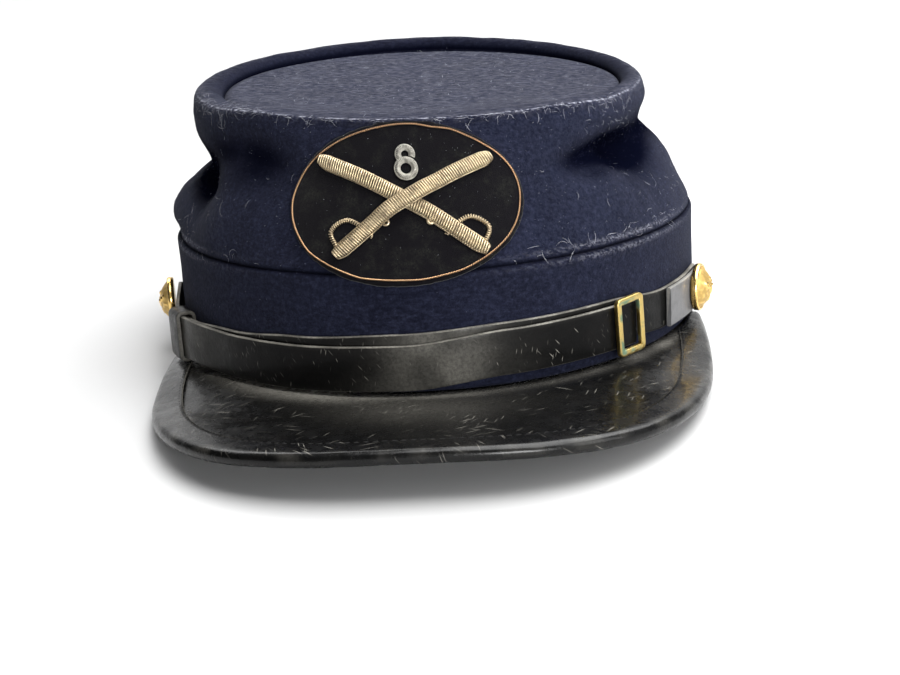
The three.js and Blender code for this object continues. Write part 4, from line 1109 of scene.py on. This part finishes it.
def numeralPiece():
    # a six: a closed bowl, and a hook that rises from its left, both of coiled purl with edge wires
    bowl, stroke, inset = numeral["width"] / 2, numeral["stroke"], numeral["edgeInset"]
    hook = bowl * numeral["hookShare"]
    parts = []
    for middle, radius, first, last in (
            (bowl - numeral["height"] / 2, bowl, -180, 180),
            (numeral["height"] / 2 - hook, hook, numeral["hookEnd"], numeral["hookStart"])):
        core = radius - stroke / 2
        turns = round(core * math.radians(last - first) / numeral["coilPitch"])
        phase = np.linspace(0, 2 * np.pi * turns, turns * 10)
        coil = core + (stroke / 2 - 0.12) * np.cos(phase)
        lift = 0.32 + 0.4 * np.maximum(np.sin(phase), -0.3)
        for reach, count, high, wire in (
                (coil, turns * 10, lift, numeral["coilWire"]),
                (radius - inset, 60, numeral["edgeLift"], numeral["edgeWire"]),
                (radius - stroke + inset, 60, numeral["edgeLift"], numeral["edgeWire"])):
            turn = np.radians(np.linspace(first, last, count))
            x = numeral["side"] + reach * np.cos(turn)
            y = numeral["rise"] + middle + reach * np.sin(turn)
            parts.append(tube(*onBadge(x, y, patchFace + high), wire, 5))
    solid = joinSolids(parts)
    return solid, {"deep": np.zeros(len(solid[0]))}


addPiece("badge_numeral_purl", *numeralPiece(), silver, "numeral_silver", ["badge_numeral"])
print("badge made")


# Lint, nap and dust

def ribbons(paths, width, lookDirection):
    # flat strips along the paths, tapered at both ends and broadside to lookDirection
    n, k = paths.shape[:2]
    side = unit(np.cross(np.gradient(paths, axis=1), lookDirection[:, None]))
    taper = np.sin(np.linspace(0.25, np.pi - 0.1, k))[:, None]
    side = side * np.broadcast_to(width, n)[:, None, None] * taper / 2
    base = (np.arange(n)[:, None] * k + np.arange(k - 1)) * 2
    return (np.stack([paths - side, paths + side], 2).reshape(-1, 3),
            np.stack([base, base + 1, base + 3, base + 2], -1).reshape(-1, 4))


def onCloth(angle, height, lift):
    # a place on the wall, or above height 1 on the rim
    return badgePoint(*fromBadge(angle, height), lift)


def onTip(angle, share, lift):
    return moved(tipPose, tipPlace(angle, np.clip(share, 0, 0.97)) + stack(0, 0, lift))


def offBadge(angle, height):
    across, up = fromBadge(turnBetween(angle, 0), height)
    return np.hypot(across / (badge["width"] / 2 + 2), up / (badge["height"] / 2 + 2)) > 1


def napPiece(count):
    angle = rng.uniform(-180, 180, count)
    height = rng.uniform(0.02, 1.16, count)
    # fewer nap strands where the fold shade is painted, so it stays dark
    keep = offBadge(angle, height) & (shadeAt(angle, height) < rng.uniform(0, 0.8, count))
    angle, height = angle[keep], height[keep]
    root = onCloth(angle, height, -0.05)
    normal = unit(onCloth(angle, height, 1) - root)
    tangent = unit(np.cross(normal, rng.standard_normal(root.shape)))
    long = rng.uniform(0.35, 1.1, len(root))[:, None]
    lean = rng.uniform(0.1, 0.75, len(root))[:, None]
    t = np.linspace(0, 1, 3)[:, None]
    paths = root[:, None] + (tangent * long)[:, None] * t \
        + (normal * long * lean)[:, None] * (t * (1.4 - t * 0.6))
    return ribbons(paths, lint["fuzzWide"], unit(normal + 0.6 * rng.standard_normal(root.shape)))


# Columns: count, angle, spread, height, spread, bend, shortest, longest
lintPatches = [(95, -52, 9, 1.07, 0.05, 1.6, 1.5, 6), (60, -10, 26, 1.035, 0.012, 0.8, 0.8, 4),
               (50, 30, 13, 1.035, 0.014, 0.9, 0.8, 4), (46, 54, 8, 0.95, 0.07, 0.7, 0.8, 3),
               (34, -74, 8, 0.06, 0.06, 1.6, 1, 5), (34, 50, 16, 0.05, 0.04, 1.2, 1, 5),
               (28, 58, 14, 0.3, 0.16, 2.2, 0.8, 5), (30, -55, 16, 0.4, 0.2, 2.0, 1, 6),
               (50, 0, 100, 0.5, 0.3, 1.8, 0.8, 4)]


def hairPaths(place, angle, height, bendy, shortest, longest, perAngle, perHeight):
    count = len(angle)
    heading = rng.uniform(0, 2 * np.pi, count)
    long = rng.uniform(shortest, longest, count)[:, None] / 12
    t = np.linspace(0, 1, 12)
    turn = heading[:, None] + rng.normal(0, bendy, count)[:, None] * t
    a = angle[:, None] + np.cumsum(np.cos(turn) * long, 1) / perAngle
    h = height[:, None] + np.cumsum(np.sin(turn) * long, 1) / perHeight
    lift = 0.15 + 0.5 * np.sin(np.pi * t) * rng.uniform(0, 1, count)[:, None]
    paths = place(a, h, lift)
    return paths, unit(place(a, h, lift + 1) - paths)[:, 6]


def hairPiece():
    parts = []
    for count, angle, spread, height, heightSpread, *kind in lintPatches:
        a = rng.normal(angle, spread, count)
        h = np.clip(rng.normal(height, heightSpread, count), 0.03, 1.12)
        keep = offBadge(a, h)
        paths, normal = hairPaths(onCloth, a[keep], h[keep], *kind,
                                  math.radians(1) * frontRadius, frontWall)
        parts.append(ribbons(paths, rng.uniform(0.03, 0.06, keep.sum()), normal))
    count = lint["tipHairs"]
    paths, normal = hairPaths(onTip, rng.uniform(-180, 180, count), rng.uniform(0.1, 0.95, count),
                              0.9, 0.6, 4, 1.0, 60)
    return joinSolids([*parts, ribbons(paths, rng.uniform(0.035, 0.07, count), normal)])


def speckPaths(root, size, spread):
    heading = unit(rng.standard_normal(root.shape) * spread)
    return root[:, None] + heading[:, None] * (np.linspace(-1, 1, 3)[:, None] * size[:, None, None])


def speckPiece(count):
    angle = rng.uniform(-110, 110, count)
    height = rng.uniform(0.02, 1.1, count)
    size = rng.uniform(0.05, 0.15, count) ** 1.2
    lift = np.where(offBadge(angle, height), 0.12, patchFace + 0.1)
    root = onCloth(angle, height, lift)
    normal = unit(onCloth(angle, height, lift + 1) - root)
    onWall = ribbons(speckPaths(root, size, 1), size * 1.2, normal)
    count = count // 2
    share = np.sqrt(rng.uniform(0, 0.92, count))
    root = tipPlace(rng.uniform(-180, 180, count), share) + np.array([0, 0, 0.1])
    size = rng.uniform(0.06, 0.2, count) ** 1.2
    paths = moved(tipPose, speckPaths(root, size, [1, 1, 0.2]))
    return joinSolids([onWall, ribbons(paths, size * 1.2, np.tile([0, 0, 1.0], (count, 1)))])


addPiece("wool_nap", napPiece(lint["fuzz"]), {}, fuzzLook)
addPiece("lint_hairs", hairPiece(), {}, hairLook)
addPiece("dust_specks", speckPiece(lint["specks"]), {}, hairLook)
print("lint made")


# Stage, light and camera

sweep = [(0.9 + 0.5 * math.sin(t), 0.5 - 0.5 * math.cos(t)) for t in np.linspace(0, math.pi / 2, 14)]
profile = [(-1.6, 0), *sweep, (1.4, 2.6)]
paper = bpy.data.meshes.new("studio_paper")
paper.from_pydata([(x, y, z) for y, z in profile for x in (-2.6, 2.6)], [],
                  [(2 * i, 2 * i + 1, 2 * i + 3, 2 * i + 2) for i in range(len(profile) - 1)])
paper.polygons.foreach_set("use_smooth", np.ones(len(paper.polygons), bool))
paper.materials.append(plainLook("studio paper", light["floorHex"], 0.9))
floor = bpy.data.objects.new("studio_paper", paper)
bpy.context.collection.objects.link(floor)

world = bpy.data.worlds.new("studio")
bpy.context.scene.world = world
world.use_nodes = True
sky = world.node_tree
toSide = addNode(sky, "SeparateXYZ", {0: addNode(sky, "TexCoord").outputs["Generated"]}).outputs[0]
plug(sky, sky.nodes["Background"], {
    "Color": linear(light["worldHex"]),
    "Strength": ranged(sky, toSide, -0.7, 0.7, (0.06 * light["world"], light["world"]))})


def addArea(name, place, target, size, power):
    lamp = bpy.data.lights.new(name, "AREA")
    lamp.shape = "RECTANGLE"
    lamp.size, lamp.size_y = size
    lamp.energy = power
    o = bpy.data.objects.new(name, lamp)
    o.location = place
    o.rotation_euler = (Vector(target) - Vector(place)).to_track_quat("-Z", "Y").to_euler()
    bpy.context.collection.objects.link(o)


addArea("top_softbox", (0.26, -0.04, 0.75), (0, 0, 0.05), (0.9, 0.7), light["top"])
addArea("side_softbox", (0.75, -0.45, 0.4), (0, 0, 0.05), (0.5, 0.5), light["key"])
addArea("front_softbox", (0.32, -0.95, 0.16), (0, 0, 0.04), (0.3, 0.3), light["front"])
addArea("back_softbox", (0, 0.95, 1.0), (0, 1.0, 0), (2.4, 0.8), light["back"])

el, yaw, roll = (math.radians(camera[k]) for k in ("elevation", "yaw", "roll"))
back = Vector((math.sin(yaw) * math.cos(el), -math.cos(yaw) * math.cos(el), math.sin(el)))
right = Vector((math.cos(yaw), math.sin(yaw), 0))
up = back.cross(right)
x = right * math.cos(roll) - up * math.sin(roll)
y = right * math.sin(roll) + up * math.cos(roll)
turned = restPose.to_3x3() @ Matrix((x, y, back)).transposed()
place = (restPose @ Vector(camera["place"])) * 0.001
lens = bpy.data.cameras.new("photo camera")
lens.lens = camera["lens"]
lens.clip_start, lens.clip_end = 0.01, 20
eye = bpy.data.objects.new("photo camera", lens)
eye.matrix_world = Matrix.Translation(place) @ turned.to_4x4()
bpy.context.collection.objects.link(eye)
bpy.context.scene.camera = eye
bpy.context.scene.view_settings.view_transform = "Standard"
print("stage ready")
